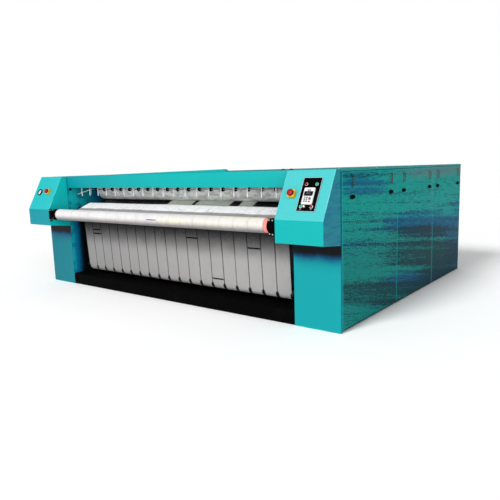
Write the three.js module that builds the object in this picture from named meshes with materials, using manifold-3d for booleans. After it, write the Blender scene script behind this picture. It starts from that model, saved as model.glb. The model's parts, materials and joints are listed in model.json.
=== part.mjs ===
// Flatwork ironer with three heated cylinders: linen is laid over the front roller, carried up the
// belt-covered table and drawn into the nip between the crest roller and the first cylinder.
// X runs across the machine, Y from the front plane of the legs to the rear, Z up from the floor.
import * as THREE from "three";
import { mergeVertices } from "three/addons/utils/BufferGeometryUtils.js";
import Module from "manifold-3d";

const wasm = await Module();
wasm.setup();

// ---------------------------------------------------------------- driving dimensions, mm

// Body
const ROOF_ROOM = 62.59; // press roller to the outside of the roof
const REAR_ROOM = 36.87; // teeth of the last gear to the outside of the rear panel
const CABINET_WIDTH = 470; // side cabinet, inner wall to outer sheet
const SHEET = 3; // folded sheet steel
const CLEARANCE = 0.3; // between parts that seat on each other
const FLOOR_GAP = 6; // below the sheet covers, which hang off the frames

// Welded side frames
const WALL = 12; // plate that carries the bearings
const POST = 50; // square posts and rails of the outer frame
const TIE_HEIGHT = 60; // floor ties between plate and outer frame
const TRAY_SHEET = 10; // motor tray
const BOSS_WALL = 16; // metal round a roller shaft
const BOSS_LENGTH = 24;
const HOUSING_RADIUS = 115; // cylinder bearing housings
const HOUSING_LENGTH = 62;

// Control consoles that overhang the front
const CONSOLE_REACH = 284;
const CONSOLE_SLOPE_DROP = 403; // roof to the lower edge of the slope
const CONSOLE_LIP = 200; // upright front below the slope
const CONSOLE_SWEEP = 32; // fall of the underside towards the legs
const CONSOLE_TOP_SETBACK = 69; // top edge of the slope, in front of the front plane

// Doors, lintel, kick panel, hood and rear outlet
const DOOR_GAP = 3;
const DOOR_START = 18; // cover strip in front of the first door and behind the last
const DOOR_OVER_PITCH = 22; // length of the rear doors past the cylinder pitch
const DOOR_BOTTOM = 25;
const DOOR_TOP_GAP = 22; // roof cap's depth over the doors
const DOOR_FLANGE = 25;
const DOOR_PROUD = 4;
const LATCH_DROP = 218; // below the tops of the doors
const LATCH_INSETS = [177, 144, 129]; // from both edges of each door, front to rear
const LATCH_RADIUS = 21;
const LATCH_STAND = 12;
const LATCH_GRIP = { length: 80, height: 22 };
const LATCH_STEM = 7;
const CAM_LENGTH = 46;
const CAM_WIDTH = 18;
const HANDLE_DROP = 35; // below the tops of the doors
const HANDLE_LENGTH = 103;
const HANDLE_WIDTH = 20;
const HANDLE_STAND = 24;
const HANDLE_STRAP = 5;
const LINTEL_HEIGHT = 148;
const LINTEL_LIP = 45;
const KICK_ROOM = 31; // tension roller to the ledge of the kick panel
const KICK_LEDGE = 198;
const KICK_RISE = 12;
const HOOD_HALF = 875; // flat top of the raised hood, half its width
const HOOD_SLOPE = 45;
const HOOD_RISE = 28;
const HOOD_FRONT = 60;
const HOOD_DEPTH = 60;
const OUTLET_INSET = 85; // from the inner walls
const OUTLET_DROP = 140; // lower edge, below the cylinder axes
const OUTLET_HEIGHT = 380;
const OUTLET_LIP = 30;

// Heated cylinders and their gear train
const CYLINDER_COUNT = 3;
const CYLINDER_RADIUS = 400;
const CYLINDER_SHELL = 12;
const CYLINDER_PITCH = 1020;
const CYLINDER_HEIGHT = 700; // axis above the floor
const CYLINDER_END_ROOM = 70; // between cylinder face and inner wall
const END_PLATE = 25;
const JOURNAL_RADIUS = 55;
const JOURNAL_BORE = 25; // steam passage
const GEAR_TEETH = 45;
const PINION_TEETH = 13;
const PRESSURE_ANGLE = THREE.MathUtils.degToRad(20);
const ADDENDUM = 0.8; // stub teeth, in modules
const DEDENDUM = 1.05;
const BACKLASH = 1.6; // taken off each tooth at the pitch circle
const GEAR_FACE = 50;
const GEAR_OFFSET = 93; // from the outside of the wall plate to the gears
const GEAR_HUB = 105;
const GEAR_HUB_LENGTH = 66;
const GEAR_WINDOWS = 4;
const GEAR_WINDOW_RADIUS = 105;
const PINION_DROP = 515; // below the cylinder axes
const PINION_ROOM = 86.05; // front plane of the legs to the pinion's teeth
const PINION_SHAFT = 25;

// Gear motor on its tray
const GEARBOX_WIDTH = 110;
const GEARBOX_DEPTH = 190;
const GEARBOX_HEIGHT = 210;
const GEARBOX_CORNER = 30;
const MOTOR_RADIUS = 68;
const MOTOR_FIN = 9;
const MOTOR_FINS = 12;
const MOTOR_LENGTH = 210;
const FAN_COVER_LENGTH = 50;

// Feed belts and the rollers they run on
const BELT_COUNT = 19;
const BELT_PITCH = 167.8;
const BELT_GAP = 5.8;
const BELT_THICKNESS = 4;
const BELT_EDGE_ROOM = 130.9; // outermost belt pitch to the inner wall
const ROLLER_OVERHANG = 16; // roller face past the outermost belts
const ROLLER_SHAFT = 20;
const FRONT_ROLLER = { y: -211, rise: 233, radius: 65 }; // rises are from the cylinder axes
const END_RING = 42; // bare rubber ring at each end of the front roller
const TABLE_FOOT = { y: 30, rise: 273 }; // where the slack belts meet the sloping bed
const FOOT_BEND = 45;
const CREST_ROLLER = { behind: -410, radius: 81 }; // behind the first cylinder's axis
const NIP_ROOM = 2; // between the belts on the crest roller and those on the cylinder
const RETURN_ROLLER = { behind: 480, rise: -285, radius: 50 };
const TENSION_ROLLER = { behind: -445, rise: -464, radius: 55 };
const IDLER_ROLLER = { behind: -584, rise: 170, radius: 42 };
const BED_SHEET = 4;
const BED_OVERHANG = 35; // bed past the outermost belts
const BED_LIP = 26;
const BED_TUBE = 34;
const ARM_THICKNESS = 28; // arms that carry the front roller
const ARM_END_RADIUS = 52;
const ARM_HUB_LENGTH = 50;
const ARM_FOOT = 130;

// Press roller, guide wheels and finger guard above the nip
const PRESS_ROLLER = { behind: -140, radius: 128 };
const PRESS_END_ROOM = 85;
const GUIDE_WHEEL_BEHIND = 30; // the crest roller's axis
const GUIDE_WHEEL_DROP = 180; // below the roof
const GUIDE_WHEEL_RADIUS = 18;
const GUIDE_WHEEL_WIDTH = 14;
const GUIDE_WHEEL_SHIFT = 7; // from each belt's middle
const GUIDE_SHAFT = 6;
const GUARD_Y = 78;
const GUARD_DROP = 108; // pivot below the roof
const GUARD_BAR = 9;
const GUARD_FINGER_LENGTH = 158;
const GUARD_FINGER_WIDTH = 20;
const GUARD_FINGER_SHEET = 3;
const GUARD_FINGER_SHIFT = -16;

// Controls; distances up the slope are from its lower edge,
// and insets are from the inner wall.
const PANEL = { inset: 280, up: 232, width: 182, height: 309, sheet: 3, corner: 6 };
const INVERTER = { drop: 19, width: 101, height: 149, stand: 14, depth: 60, corner: 8 };
const SCREEN = { up: 24, width: 84, height: 31, recess: 2 };
const KEYPAD = { up: -30, width: 74, height: 62, recess: 1.5 };
const LAMP = { reach: 49.5, rise: 90, radius: 11, height: 13 };
const BUTTON = { reach: 50.5, drop: 111, radius: 11, stand: 9 };
const KNOB = { shift: -17, radius: 9, height: 13, flutes: 8 };
const COLLAR = { wall: 4, stand: 3 };
const ESTOP = { rightInset: 115, leftInset: 148, rightUp: 232, leftUp: 238 };
const ESTOP_BOX = { side: 68, height: 30, corner: 10 };
const ESTOP_HEAD = { radius: 26, height: 17, stem: 12, gap: 8 };
const GAUGE = { inset: 347, up: 234, radius: 42, rim: 6, stand: 14, body: 36, depth: 40 };
const NEEDLE = { length: 27, tail: 9, width: 3, sheet: 1.2, pin: 2.5 };

// Facets round a full circle
const LARGE_FACETS = 28;
const MEDIUM_FACETS = 14;
const SMALL_FACETS = 10;
const TINY_FACETS = 8;
const FINE_BEND = THREE.MathUtils.degToRad(30); // belts round what is seen, and round a cylinder
const COARSE_BEND = THREE.MathUtils.degToRad(60); // belts round the rollers inside

// ---------------------------------------------------------------- places worked out from them

const beltSpan = BELT_COUNT * BELT_PITCH;
const beltWidth = BELT_PITCH - BELT_GAP;
const beltX = (index) => -beltSpan / 2 + (index + 0.5) * BELT_PITCH;
const beltMiddle = CLEARANCE + BELT_THICKNESS / 2; // belt's middle line, out from a roller
const bayHalf = beltSpan / 2 + BELT_EDGE_ROOM;
const bodyHalf = bayHalf + CABINET_WIDTH;
const wallOuter = bayHalf + WALL;

// Cylinders and gears
const gearInner = wallOuter + GEAR_OFFSET;
const gearModule = CYLINDER_PITCH / GEAR_TEETH;
const gearRadius = CYLINDER_PITCH / 2;
const pinionRadius = (gearModule * PINION_TEETH) / 2;
const pinionZ = CYLINDER_HEIGHT - PINION_DROP;
const pinionY = PINION_ROOM + pinionRadius + ADDENDUM * gearModule;
const pinionReach = Math.sqrt((gearRadius + pinionRadius) ** 2 - PINION_DROP ** 2);
const firstCylinderY = pinionY + pinionReach;
const cylinderFace = bayHalf - CYLINDER_END_ROOM;
const cylinderY = (index) => firstCylinderY + index * CYLINDER_PITCH;
const trayInner = gearInner + GEAR_FACE + 25;

// Rollers
const placed = ({ behind, rise, radius }) => ({
  y: firstCylinderY + behind,
  z: CYLINDER_HEIGHT + rise,
  radius,
});
const onCylinder = ({ behind, radius }, reach) =>
  placed({ behind, rise: Math.sqrt(reach ** 2 - behind ** 2), radius });
const frontRoller = {
  y: FRONT_ROLLER.y,
  z: CYLINDER_HEIGHT + FRONT_ROLLER.rise,
  radius: FRONT_ROLLER.radius,
};
const crestRoller = onCylinder(
  CREST_ROLLER,
  CYLINDER_RADIUS + CREST_ROLLER.radius + 2 * beltMiddle + NIP_ROOM,
);
const pressRoller = onCylinder(
  PRESS_ROLLER,
  CYLINDER_RADIUS + PRESS_ROLLER.radius + CLEARANCE,
);
const returnRoller = placed(RETURN_ROLLER);
const tensionRoller = placed(TENSION_ROLLER);
const idlerRoller = placed(IDLER_ROLLER);

// Body
const bodyHeight = pressRoller.z + pressRoller.radius + ROOF_ROOM;
const gearTip = gearRadius + ADDENDUM * gearModule;
const bodyDepth = cylinderY(CYLINDER_COUNT - 1) + gearTip + REAR_ROOM;
const roofUnder = bodyHeight - SHEET;
const doorTop = bodyHeight - DOOR_TOP_GAP;
const doorOuter = bodyHalf + DOOR_PROUD;
const doorSeat = doorOuter - DOOR_FLANGE - CLEARANCE;
const doorLength = CYLINDER_PITCH + DOOR_OVER_PITCH;
const doorEdges = [
  DOOR_START,
  ...Array.from(
    { length: CYLINDER_COUNT - 1 },
    (_, index) => bodyDepth - (CYLINDER_COUNT - 1 - index) * doorLength,
  ),
  bodyDepth - DOOR_START,
];
const latchHeight = doorTop - LATCH_DROP;
const handleBottom = doorTop - HANDLE_DROP - HANDLE_LENGTH;
const slopeRun = CONSOLE_REACH - CONSOLE_TOP_SETBACK;
const lipTop = bodyHeight - CONSOLE_SLOPE_DROP;
const lipBottom = lipTop - CONSOLE_LIP;
const rootBottom = lipBottom - CONSOLE_SWEEP;
const kickHeight = tensionRoller.z - tensionRoller.radius - KICK_ROOM - KICK_RISE;
const outletHalf = bayHalf - OUTLET_INSET;
const outletBottom = CYLINDER_HEIGHT - OUTLET_DROP;
const guideWheelY = crestRoller.y + GUIDE_WHEEL_BEHIND;
const guideWheelZ = bodyHeight - GUIDE_WHEEL_DROP;
const guardPivotZ = bodyHeight - GUARD_DROP;

// Controls
const panelX = bayHalf + PANEL.inset;
const buttonUp = PANEL.up - BUTTON.drop;
const knobX = panelX + KNOB.shift;
const estopRight = { x: bayHalf + ESTOP.rightInset, up: ESTOP.rightUp };
const estopLeft = { x: -bayHalf - ESTOP.leftInset, up: ESTOP.leftUp };
const gaugeX = -bayHalf - GAUGE.inset;

// ---------------------------------------------------------------- solids

function solidOf(geometry) {
  const bare = geometry.clone();
  bare.deleteAttribute("normal");
  bare.deleteAttribute("uv");
  const merged = mergeVertices(bare, 1e-4);
  return new wasm.Manifold(
    new wasm.Mesh({
      numProp: 3,
      vertProperties: new Float32Array(merged.attributes.position.array),
      triVerts: new Uint32Array(merged.index.array),
    }),
  );
}

function geometryOf(solid) {
  const mesh = solid.getMesh();
  const geometry = new THREE.BufferGeometry();
  geometry.setAttribute("position", new THREE.BufferAttribute(mesh.vertProperties, 3));
  geometry.setIndex(new THREE.BufferAttribute(mesh.triVerts, 1));
  const flat = geometry.toNonIndexed();
  flat.computeVertexNormals();
  return flat;
}

const join = (first, ...others) => others.reduce((whole, next) => whole.add(next), first);
const cut = (first, ...others) => others.reduce((whole, next) => whole.subtract(next), first);

function block([x0, x1], [y0, y1], [z0, z1]) {
  const geometry = new THREE.BoxGeometry(x1 - x0, y1 - y0, z1 - z0);
  return solidOf(geometry.translate((x0 + x1) / 2, (y0 + y1) / 2, (z0 + z1) / 2));
}

// A round bar along X.
function rodX(radius, x0, x1, y, z, facets = SMALL_FACETS) {
  const geometry = new THREE.CylinderGeometry(radius, radius, x1 - x0, facets);
  return solidOf(geometry.rotateZ(-Math.PI / 2).translate((x0 + x1) / 2, y, z));
}

// A round bar along Z.
function rodZ(radius, z0, z1, x, y, facets = SMALL_FACETS) {
  const geometry = new THREE.CylinderGeometry(radius, radius, z1 - z0, facets);
  return solidOf(geometry.rotateX(Math.PI / 2).translate(x, y, (z0 + z1) / 2));
}

// The radius whose facets all clear a round shaft.
const boreFor = (radius, facets = SMALL_FACETS, room = 2 * CLEARANCE) =>
  (radius + room) / Math.cos(Math.PI / facets);

// The radius whose facets run parallel to those of the bar inside, a clearance away.
const sleeveFor = (radius, facets = SMALL_FACETS) =>
  radius + CLEARANCE / Math.cos(Math.PI / facets);

function shapeOf(points, holes = []) {
  const shape = new THREE.Shape(points.map(([a, b]) => new THREE.Vector2(a, b)));
  shape.holes = holes.map((hole) => new THREE.Path(hole.map(([a, b]) => new THREE.Vector2(a, b))));
  return shape;
}

// An outline of [y, z] points pushed along X.
function prismX(points, x0, x1, holes = []) {
  const shape = shapeOf(points, holes);
  const geometry = new THREE.ExtrudeGeometry(shape, { depth: x1 - x0, bevelEnabled: false });
  const along = new THREE.Matrix4().makeBasis(
    new THREE.Vector3(0, 1, 0),
    new THREE.Vector3(0, 0, 1),
    new THREE.Vector3(1, 0, 0),
  );
  return solidOf(geometry.applyMatrix4(along).translate(x0, 0, 0));
}

// An outline of [x, y] points pushed along Z.
function prismZ(points, z0, z1) {
  const geometry = new THREE.ExtrudeGeometry(shapeOf(points), {
    depth: z1 - z0,
    bevelEnabled: false,
  });
  return solidOf(geometry.translate(0, 0, z0));
}

// A profile of [radius, x] points turned about an axis along X.
function turnedX(profile, y, z, facets) {
  const points = profile.map(([radius, x]) => new THREE.Vector2(radius, x));
  const geometry = new THREE.LatheGeometry(points, facets);
  return solidOf(geometry.rotateZ(-Math.PI / 2).translate(0, y, z));
}

// A profile of [radius, z] points turned about Z.
function turnedZ(profile, x, y, facets) {
  const points = profile.map(([radius, z]) => new THREE.Vector2(radius, z));
  const geometry = new THREE.LatheGeometry(points, facets);
  return solidOf(geometry.rotateX(Math.PI / 2).translate(x, y, 0));
}

function roundedRectangle(x, y, width, height, corner, steps = 3) {
  const points = [];
  for (let quarter = 0; quarter < 4; quarter += 1) {
    const side = quarter === 0 || quarter === 3 ? 1 : -1;
    const level = quarter < 2 ? 1 : -1;
    for (let step = 0; step <= steps; step += 1) {
      const angle = (quarter + step / steps) * (Math.PI / 2);
      points.push([
        x + side * (width / 2 - corner) + corner * Math.cos(angle),
        y + level * (height / 2 - corner) + corner * Math.sin(angle),
      ]);
    }
  }
  return points;
}

// The same piece on the left or the right of the machine.
const sides = [
  { name: "left", sign: -1 },
  { name: "right", sign: 1 },
];
const span = (sign, near, far) => (sign > 0 ? [near, far] : [-far, -near]);

// ---------------------------------------------------------------- finishes

const finish = (color, roughness, metalness) =>
  new THREE.MeshStandardMaterial({ color, roughness, metalness });
const TURQUOISE = finish(0x35cdc8, 0.45, 0);
const DARK_TURQUOISE = finish(0x14918d, 0.45, 0);
const BLACK_PAINT = finish(0x141416, 0.55, 0);
const STEEL = finish(0xb9bcbe, 0.25, 1);
const DARK_STEEL = finish(0x55585b, 0.45, 0.9);
const COTTON = finish(0xe6e4e0, 0.95, 0);
const PINK_RUBBER = finish(0xe58a7c, 0.7, 0);
const WHITE_PLASTIC = finish(0xf0f0ee, 0.4, 0);
const YELLOW_PLASTIC = finish(0xf4c61c, 0.4, 0);
const RED_PLASTIC = finish(0xd0182c, 0.35, 0);
const GREEN_PLASTIC = finish(0x2fb98c, 0.35, 0);
const GREY_PAINT = finish(0x6d7478, 0.5, 0);

const machine = new THREE.Group();
machine.position.y = -(bodyDepth - CONSOLE_REACH) / 2;

function addNode(name, solid, material, parent = machine) {
  const mesh = new THREE.Mesh(geometryOf(solid), material);
  mesh.name = name;
  parent.add(mesh);
  return mesh;
}

// ---------------------------------------------------------------- welded side frames

const SHAFT_SEATS = [
  { ...crestRoller, shaft: ROLLER_SHAFT },
  { ...returnRoller, shaft: ROLLER_SHAFT },
  { ...tensionRoller, shaft: ROLLER_SHAFT },
  { ...idlerRoller, shaft: ROLLER_SHAFT },
  { ...pressRoller, shaft: ROLLER_SHAFT },
  { y: GUARD_Y, z: guardPivotZ, shaft: GUARD_BAR },
];

function boss(sign, y, z, shaft) {
  const [x0, x1] = span(sign, wallOuter - 1, wallOuter + BOSS_LENGTH);
  return rodX(shaft + BOSS_WALL, x0, x1, y, z, TINY_FACETS);
}

// An arm reaches forward from the wall and ends in a round hub about the front roller's shaft.
function rollerArm(sign) {
  const { y, z } = frontRoller;
  const armOuter = bayHalf - CLEARANCE;
  const [a0, a1] = span(sign, armOuter - ARM_THICKNESS, armOuter);
  const [f0, f1] = span(sign, armOuter - ARM_THICKNESS, bayHalf + 1);
  const [h0, h1] = span(sign, armOuter - ARM_THICKNESS - ARM_HUB_LENGTH, armOuter - 1);
  const arm = prismX(
    [
      [y, z - ARM_END_RADIUS],
      [ARM_FOOT, z - ARM_END_RADIUS],
      [ARM_FOOT, z + ARM_END_RADIUS / 2],
      [y, z + ARM_END_RADIUS],
    ],
    a0,
    a1,
  );
  const foot = block(
    [f0, f1],
    [SHEET + 10, ARM_FOOT],
    [z - ARM_END_RADIUS, z + ARM_END_RADIUS / 2],
  );
  const hub = rodX(ARM_END_RADIUS, h0, h1, y, z, MEDIUM_FACETS);
  return join(arm, foot, hub);
}

function sideFrame(sign) {
  const frontEdge = SHEET + CLEARANCE;
  const rearEdge = bodyDepth - SHEET - CLEARANCE;
  const top = roofUnder - CLEARANCE;
  const wall = block(span(sign, bayHalf, wallOuter), [frontEdge, rearEdge], [0, top]);
  const outer = span(sign, doorSeat - POST, doorSeat);
  const apertures = doorEdges.slice(0, -1).map((edge, index) => {
    const first = index === 0 ? frontEdge + POST : edge + POST / 2;
    const last = index === CYLINDER_COUNT - 1 ? rearEdge - POST : doorEdges[index + 1] - POST / 2;
    return block([outer[0] - 1, outer[1] + 1], [first, last], [TIE_HEIGHT, top - POST]);
  });
  const outerFrame = cut(block(outer, [frontEdge, rearEdge], [0, top]), ...apertures);
  const tieEnds = span(sign, wallOuter - 1, doorSeat - POST + 1);
  const tieY = [frontEdge, pinionY + pinionRadius + 30, ...doorEdges.slice(1, -1), rearEdge - POST];
  const ties = tieY.flatMap((y) => {
    const low = block(tieEnds, [y, y + POST], [0, TIE_HEIGHT]);
    const high = block(tieEnds, [y, y + POST], [top - POST, top]);
    return [low, high];
  });
  const housings = Array.from({ length: CYLINDER_COUNT }, (_, index) => {
    const [h0, h1] = span(sign, wallOuter - 1, wallOuter + HOUSING_LENGTH);
    return rodX(HOUSING_RADIUS, h0, h1, cylinderY(index), CYLINDER_HEIGHT, MEDIUM_FACETS);
  });
  const bosses = SHAFT_SEATS.map(({ y, z, shaft }) => boss(sign, y, z, shaft));
  const extra =
    sign > 0
      ? [
          boss(sign, pinionY, pinionZ, PINION_SHAFT),
          block(
            span(sign, trayInner, doorSeat - POST + 1),
            [frontEdge + POST - 1, tieY[1] + 1],
            [TIE_HEIGHT - TRAY_SHEET, TIE_HEIGHT],
          ),
        ]
      : [];
  const solid = join(wall, outerFrame, ...ties, ...housings, ...bosses, ...extra, rollerArm(sign));
  const armReach = ARM_THICKNESS + ARM_HUB_LENGTH + 2 * CLEARANCE;
  const [b0, b1] = span(sign, bayHalf - armReach, wallOuter + HOUSING_LENGTH + 5);
  const bores = Array.from({ length: CYLINDER_COUNT }, (_, index) =>
    rodX(
      boreFor(JOURNAL_RADIUS, MEDIUM_FACETS),
      b0,
      b1,
      cylinderY(index),
      CYLINDER_HEIGHT,
      MEDIUM_FACETS,
    ),
  );
  const seats = [
    ...SHAFT_SEATS,
    { ...frontRoller, shaft: ROLLER_SHAFT },
    ...(sign > 0 ? [{ y: pinionY, z: pinionZ, shaft: PINION_SHAFT }] : []),
  ];
  const shaftBores = seats.map(({ y, z, shaft }) =>
    rodX(boreFor(shaft, TINY_FACETS), b0, b1, y, z, TINY_FACETS),
  );
  return cut(solid, ...bores, ...shaftBores);
}

for (const { name, sign } of sides) {
  addNode(`${name}_side_frame`, sideFrame(sign), TURQUOISE);
}

// ---------------------------------------------------------------- sheet covers

// Front leg cover: a face with a folded return down its outer edge.
function legCover(sign) {
  const top = rootBottom - CLEARANCE;
  const inner = span(sign, bayHalf, bodyHalf);
  const whole = block(inner, [0, DOOR_START - DOOR_GAP], [FLOOR_GAP, top]);
  const hollow = block(
    span(sign, bayHalf - 1, bodyHalf - SHEET),
    [SHEET, DOOR_START],
    [FLOOR_GAP - 1, top + 1],
  );
  return cut(whole, hollow);
}

const consoleOutline = [
  [0, rootBottom],
  [0, bodyHeight],
  [-CONSOLE_TOP_SETBACK, bodyHeight],
  [-CONSOLE_REACH, lipTop],
  [-CONSOLE_REACH, lipBottom],
];

// The same outline, drawn in by the sheet and open to the rear.
function consoleHollow() {
  const slopeLength = Math.hypot(slopeRun, CONSOLE_SLOPE_DROP);
  const slopeShift = (SHEET * slopeLength) / slopeRun; // vertical drop of the slope's inner face
  const frontY = -CONSOLE_REACH + SHEET;
  const frontTop = lipTop + (SHEET * CONSOLE_SLOPE_DROP) / slopeRun - slopeShift;
  const topY = -CONSOLE_TOP_SETBACK + ((slopeShift - SHEET) * slopeRun) / CONSOLE_SLOPE_DROP;
  return [
    [10, rootBottom + SHEET],
    [10, bodyHeight - SHEET],
    [topY, bodyHeight - SHEET],
    [frontY, frontTop],
    [frontY, lipBottom + SHEET],
  ];
}

// Turns a solid drawn flat on the slope (x, distance up, height) into its place.
function onSlope(solid) {
  const turn = THREE.MathUtils.radToDeg(Math.atan2(CONSOLE_SLOPE_DROP, slopeRun));
  return solid.rotate([turn, 0, 0]).translate([0, -CONSOLE_REACH, lipTop]);
}

function consoleShell(sign) {
  const [x0, x1] = span(sign, bayHalf, bodyHalf);
  const [h0, h1] = span(sign, bayHalf + SHEET, bodyHalf - SHEET);
  const shell = cut(prismX(consoleOutline, x0, x1), prismX(consoleHollow(), h0, h1));
  const estop = sign > 0 ? estopRight : estopLeft;
  const estopHole = rodZ(ESTOP_HEAD.stem + 2, -20, 20, estop.x, estop.up);
  const instrumentHole =
    sign > 0
      ? prismZ(
          roundedRectangle(panelX, PANEL.up, PANEL.width - 26, PANEL.height - 26, PANEL.corner),
          -20,
          20,
        )
      : rodZ(boreFor(GAUGE.body, MEDIUM_FACETS), -20, 20, gaugeX, GAUGE.up, MEDIUM_FACETS);
  return cut(shell, onSlope(estopHole), onSlope(instrumentHole));
}

for (const { name, sign } of sides) {
  addNode(`${name}_front_cover`, legCover(sign), TURQUOISE);
  addNode(`${name}_console`, consoleShell(sign), TURQUOISE);
}

// Roof: a flat sheet whose sides fold down over the tops of the doors.
function roofPanel() {
  const front = SHEET + CLEARANCE;
  const whole = block(
    [-bodyHalf, bodyHalf],
    [front, bodyDepth],
    [doorTop + DOOR_GAP, bodyHeight],
  );
  const under = block(
    [-bodyHalf + SHEET, bodyHalf - SHEET],
    [front - 1, bodyDepth + 1],
    [doorTop, roofUnder],
  );
  return cut(whole, under);
}
addNode("roof_panel", roofPanel(), DARK_TURQUOISE);

// Raised hood behind the lintel: a low box with sloping ends.
function topHood() {
  const base = bodyHeight + CLEARANCE;
  const half = HOOD_HALF + HOOD_SLOPE;
  const front = HOOD_FRONT - SHEET;
  const outline = [
    [-half, base],
    [half, base],
    [HOOD_HALF, base + HOOD_RISE],
    [-HOOD_HALF, base + HOOD_RISE],
  ];
  const inner = [
    [-half + 2 * SHEET, base - 1],
    [half - 2 * SHEET, base - 1],
    [HOOD_HALF - SHEET, base + HOOD_RISE - SHEET],
    [-HOOD_HALF + SHEET, base + HOOD_RISE - SHEET],
  ];
  const upright = (points, y0, y1) => {
    const geometry = new THREE.ExtrudeGeometry(shapeOf(points), {
      depth: y1 - y0,
      bevelEnabled: false,
    });
    return solidOf(geometry.rotateX(Math.PI / 2).translate(0, y1, 0));
  };
  const pan = upright(outline, front, front + HOOD_DEPTH);
  return cut(pan, upright(inner, front + SHEET, front + HOOD_DEPTH - SHEET));
}
addNode("top_hood", topHood(), DARK_TURQUOISE);

// Lintel across the bay, folded back along its lower edge.
function frontLintel() {
  const bottom = bodyHeight - LINTEL_HEIGHT;
  const half = bayHalf - CLEARANCE;
  const outline = [
    [0, bottom],
    [LINTEL_LIP, bottom],
    [LINTEL_LIP, bottom + 2 * SHEET],
    [LINTEL_LIP - SHEET, bottom + 2 * SHEET],
    [LINTEL_LIP - SHEET, bottom + SHEET],
    [SHEET, bottom + SHEET],
    [SHEET, bodyHeight],
    [0, bodyHeight],
  ];
  return prismX(outline, -half, half);
}
addNode("front_lintel", frontLintel(), TURQUOISE);

// Kick panel with a ledge that rises gently under the belts.
function kickPanel() {
  const half = bayHalf - CLEARANCE;
  const rear = kickHeight + KICK_RISE;
  const outline = [
    [0, FLOOR_GAP],
    [SHEET, FLOOR_GAP],
    [SHEET, kickHeight - SHEET],
    [KICK_LEDGE - SHEET, rear - SHEET],
    [KICK_LEDGE - SHEET, rear - 12 * SHEET],
    [KICK_LEDGE, rear - 12 * SHEET],
    [KICK_LEDGE, rear],
    [0, kickHeight],
  ];
  return prismX(outline, -half, half);
}
addNode("kick_panel", kickPanel(), BLACK_PAINT);

// Rear panel with the linen outlet, whose lower edge is folded out of the way.
function rearPanel() {
  const inner = bodyDepth - SHEET;
  const top = doorTop + DOOR_GAP - CLEARANCE;
  const panel = block([-bodyHalf, bodyHalf], [inner, bodyDepth], [FLOOR_GAP, top]);
  const returns = sides.map(({ sign }) =>
    block(
      span(sign, bodyHalf - SHEET, bodyHalf),
      [doorEdges[CYLINDER_COUNT] + DOOR_GAP, inner + 1],
      [FLOOR_GAP, top],
    ),
  );
  const outletTop = outletBottom + OUTLET_HEIGHT;
  const lips = [outletBottom, outletTop - SHEET].map((z) =>
    block([-outletHalf, outletHalf], [inner - OUTLET_LIP, inner + 1], [z, z + SHEET]),
  );
  const outlet = block(
    [-outletHalf, outletHalf],
    [inner - 1, bodyDepth + 1],
    [outletBottom + SHEET, outletTop - SHEET],
  );
  return cut(join(panel, ...returns, ...lips), outlet);
}
addNode("rear_panel", rearPanel(), DARK_TURQUOISE);

// ---------------------------------------------------------------- doors and their latches

// A door is a shallow tray with two bow handles, hung on its lower outer edge.
function door(sign, index) {
  const y0 = doorEdges[index] + (index > 0 ? DOOR_GAP / 2 : 0);
  const y1 = doorEdges[index + 1] - (index < CYLINDER_COUNT - 1 ? DOOR_GAP / 2 : 0);
  const inner = doorOuter - DOOR_FLANGE;
  const tray = block(span(sign, inner, doorOuter), [y0, y1], [DOOR_BOTTOM, doorTop]);
  const hollow = block(
    span(sign, inner - 1, doorOuter - SHEET),
    [y0 + SHEET, y1 - SHEET],
    [DOOR_BOTTOM + SHEET, doorTop - SHEET],
  );
  const latchY = latchPlaces(index);
  const bows = latchY.map((y) => bowHandle(sign, y));
  const holes = latchY.map((y) => {
    const [x0, x1] = span(sign, doorOuter - 2 * SHEET, doorOuter + SHEET);
    return rodX(boreFor(LATCH_STEM, TINY_FACETS), x0, x1, y, latchHeight, TINY_FACETS);
  });
  return cut(join(cut(tray, hollow), ...bows), ...holes);
}

function latchPlaces(index) {
  const inset = LATCH_INSETS[index % LATCH_INSETS.length];
  return [doorEdges[index] + inset, doorEdges[index + 1] - inset];
}

// An upright strap bent into a bow, its ends on the door.
function bowHandle(sign, y) {
  const top = handleBottom + HANDLE_LENGTH;
  const stand = HANDLE_STAND;
  const strap = HANDLE_STRAP;
  const bend = 2 * strap;
  const outer = [
    [-1, handleBottom],
    [stand - bend, handleBottom],
    [stand, handleBottom + bend],
    [stand, top - bend],
    [stand - bend, top],
    [-1, top],
  ];
  const inner = [
    [-1, top - strap],
    [stand - bend, top - strap],
    [stand - strap, top - bend],
    [stand - strap, handleBottom + bend],
    [stand - bend, handleBottom + strap],
    [-1, handleBottom + strap],
  ];
  const geometry = new THREE.ExtrudeGeometry(shapeOf([...outer, ...inner]), {
    depth: HANDLE_WIDTH,
    bevelEnabled: false,
  });
  geometry.rotateX(Math.PI / 2);
  if (sign < 0) {
    geometry.rotateZ(Math.PI);
  }
  const from = sign > 0 ? y + HANDLE_WIDTH / 2 : y - HANDLE_WIDTH / 2;
  return solidOf(geometry.translate(sign * doorOuter, from, 0));
}

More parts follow.
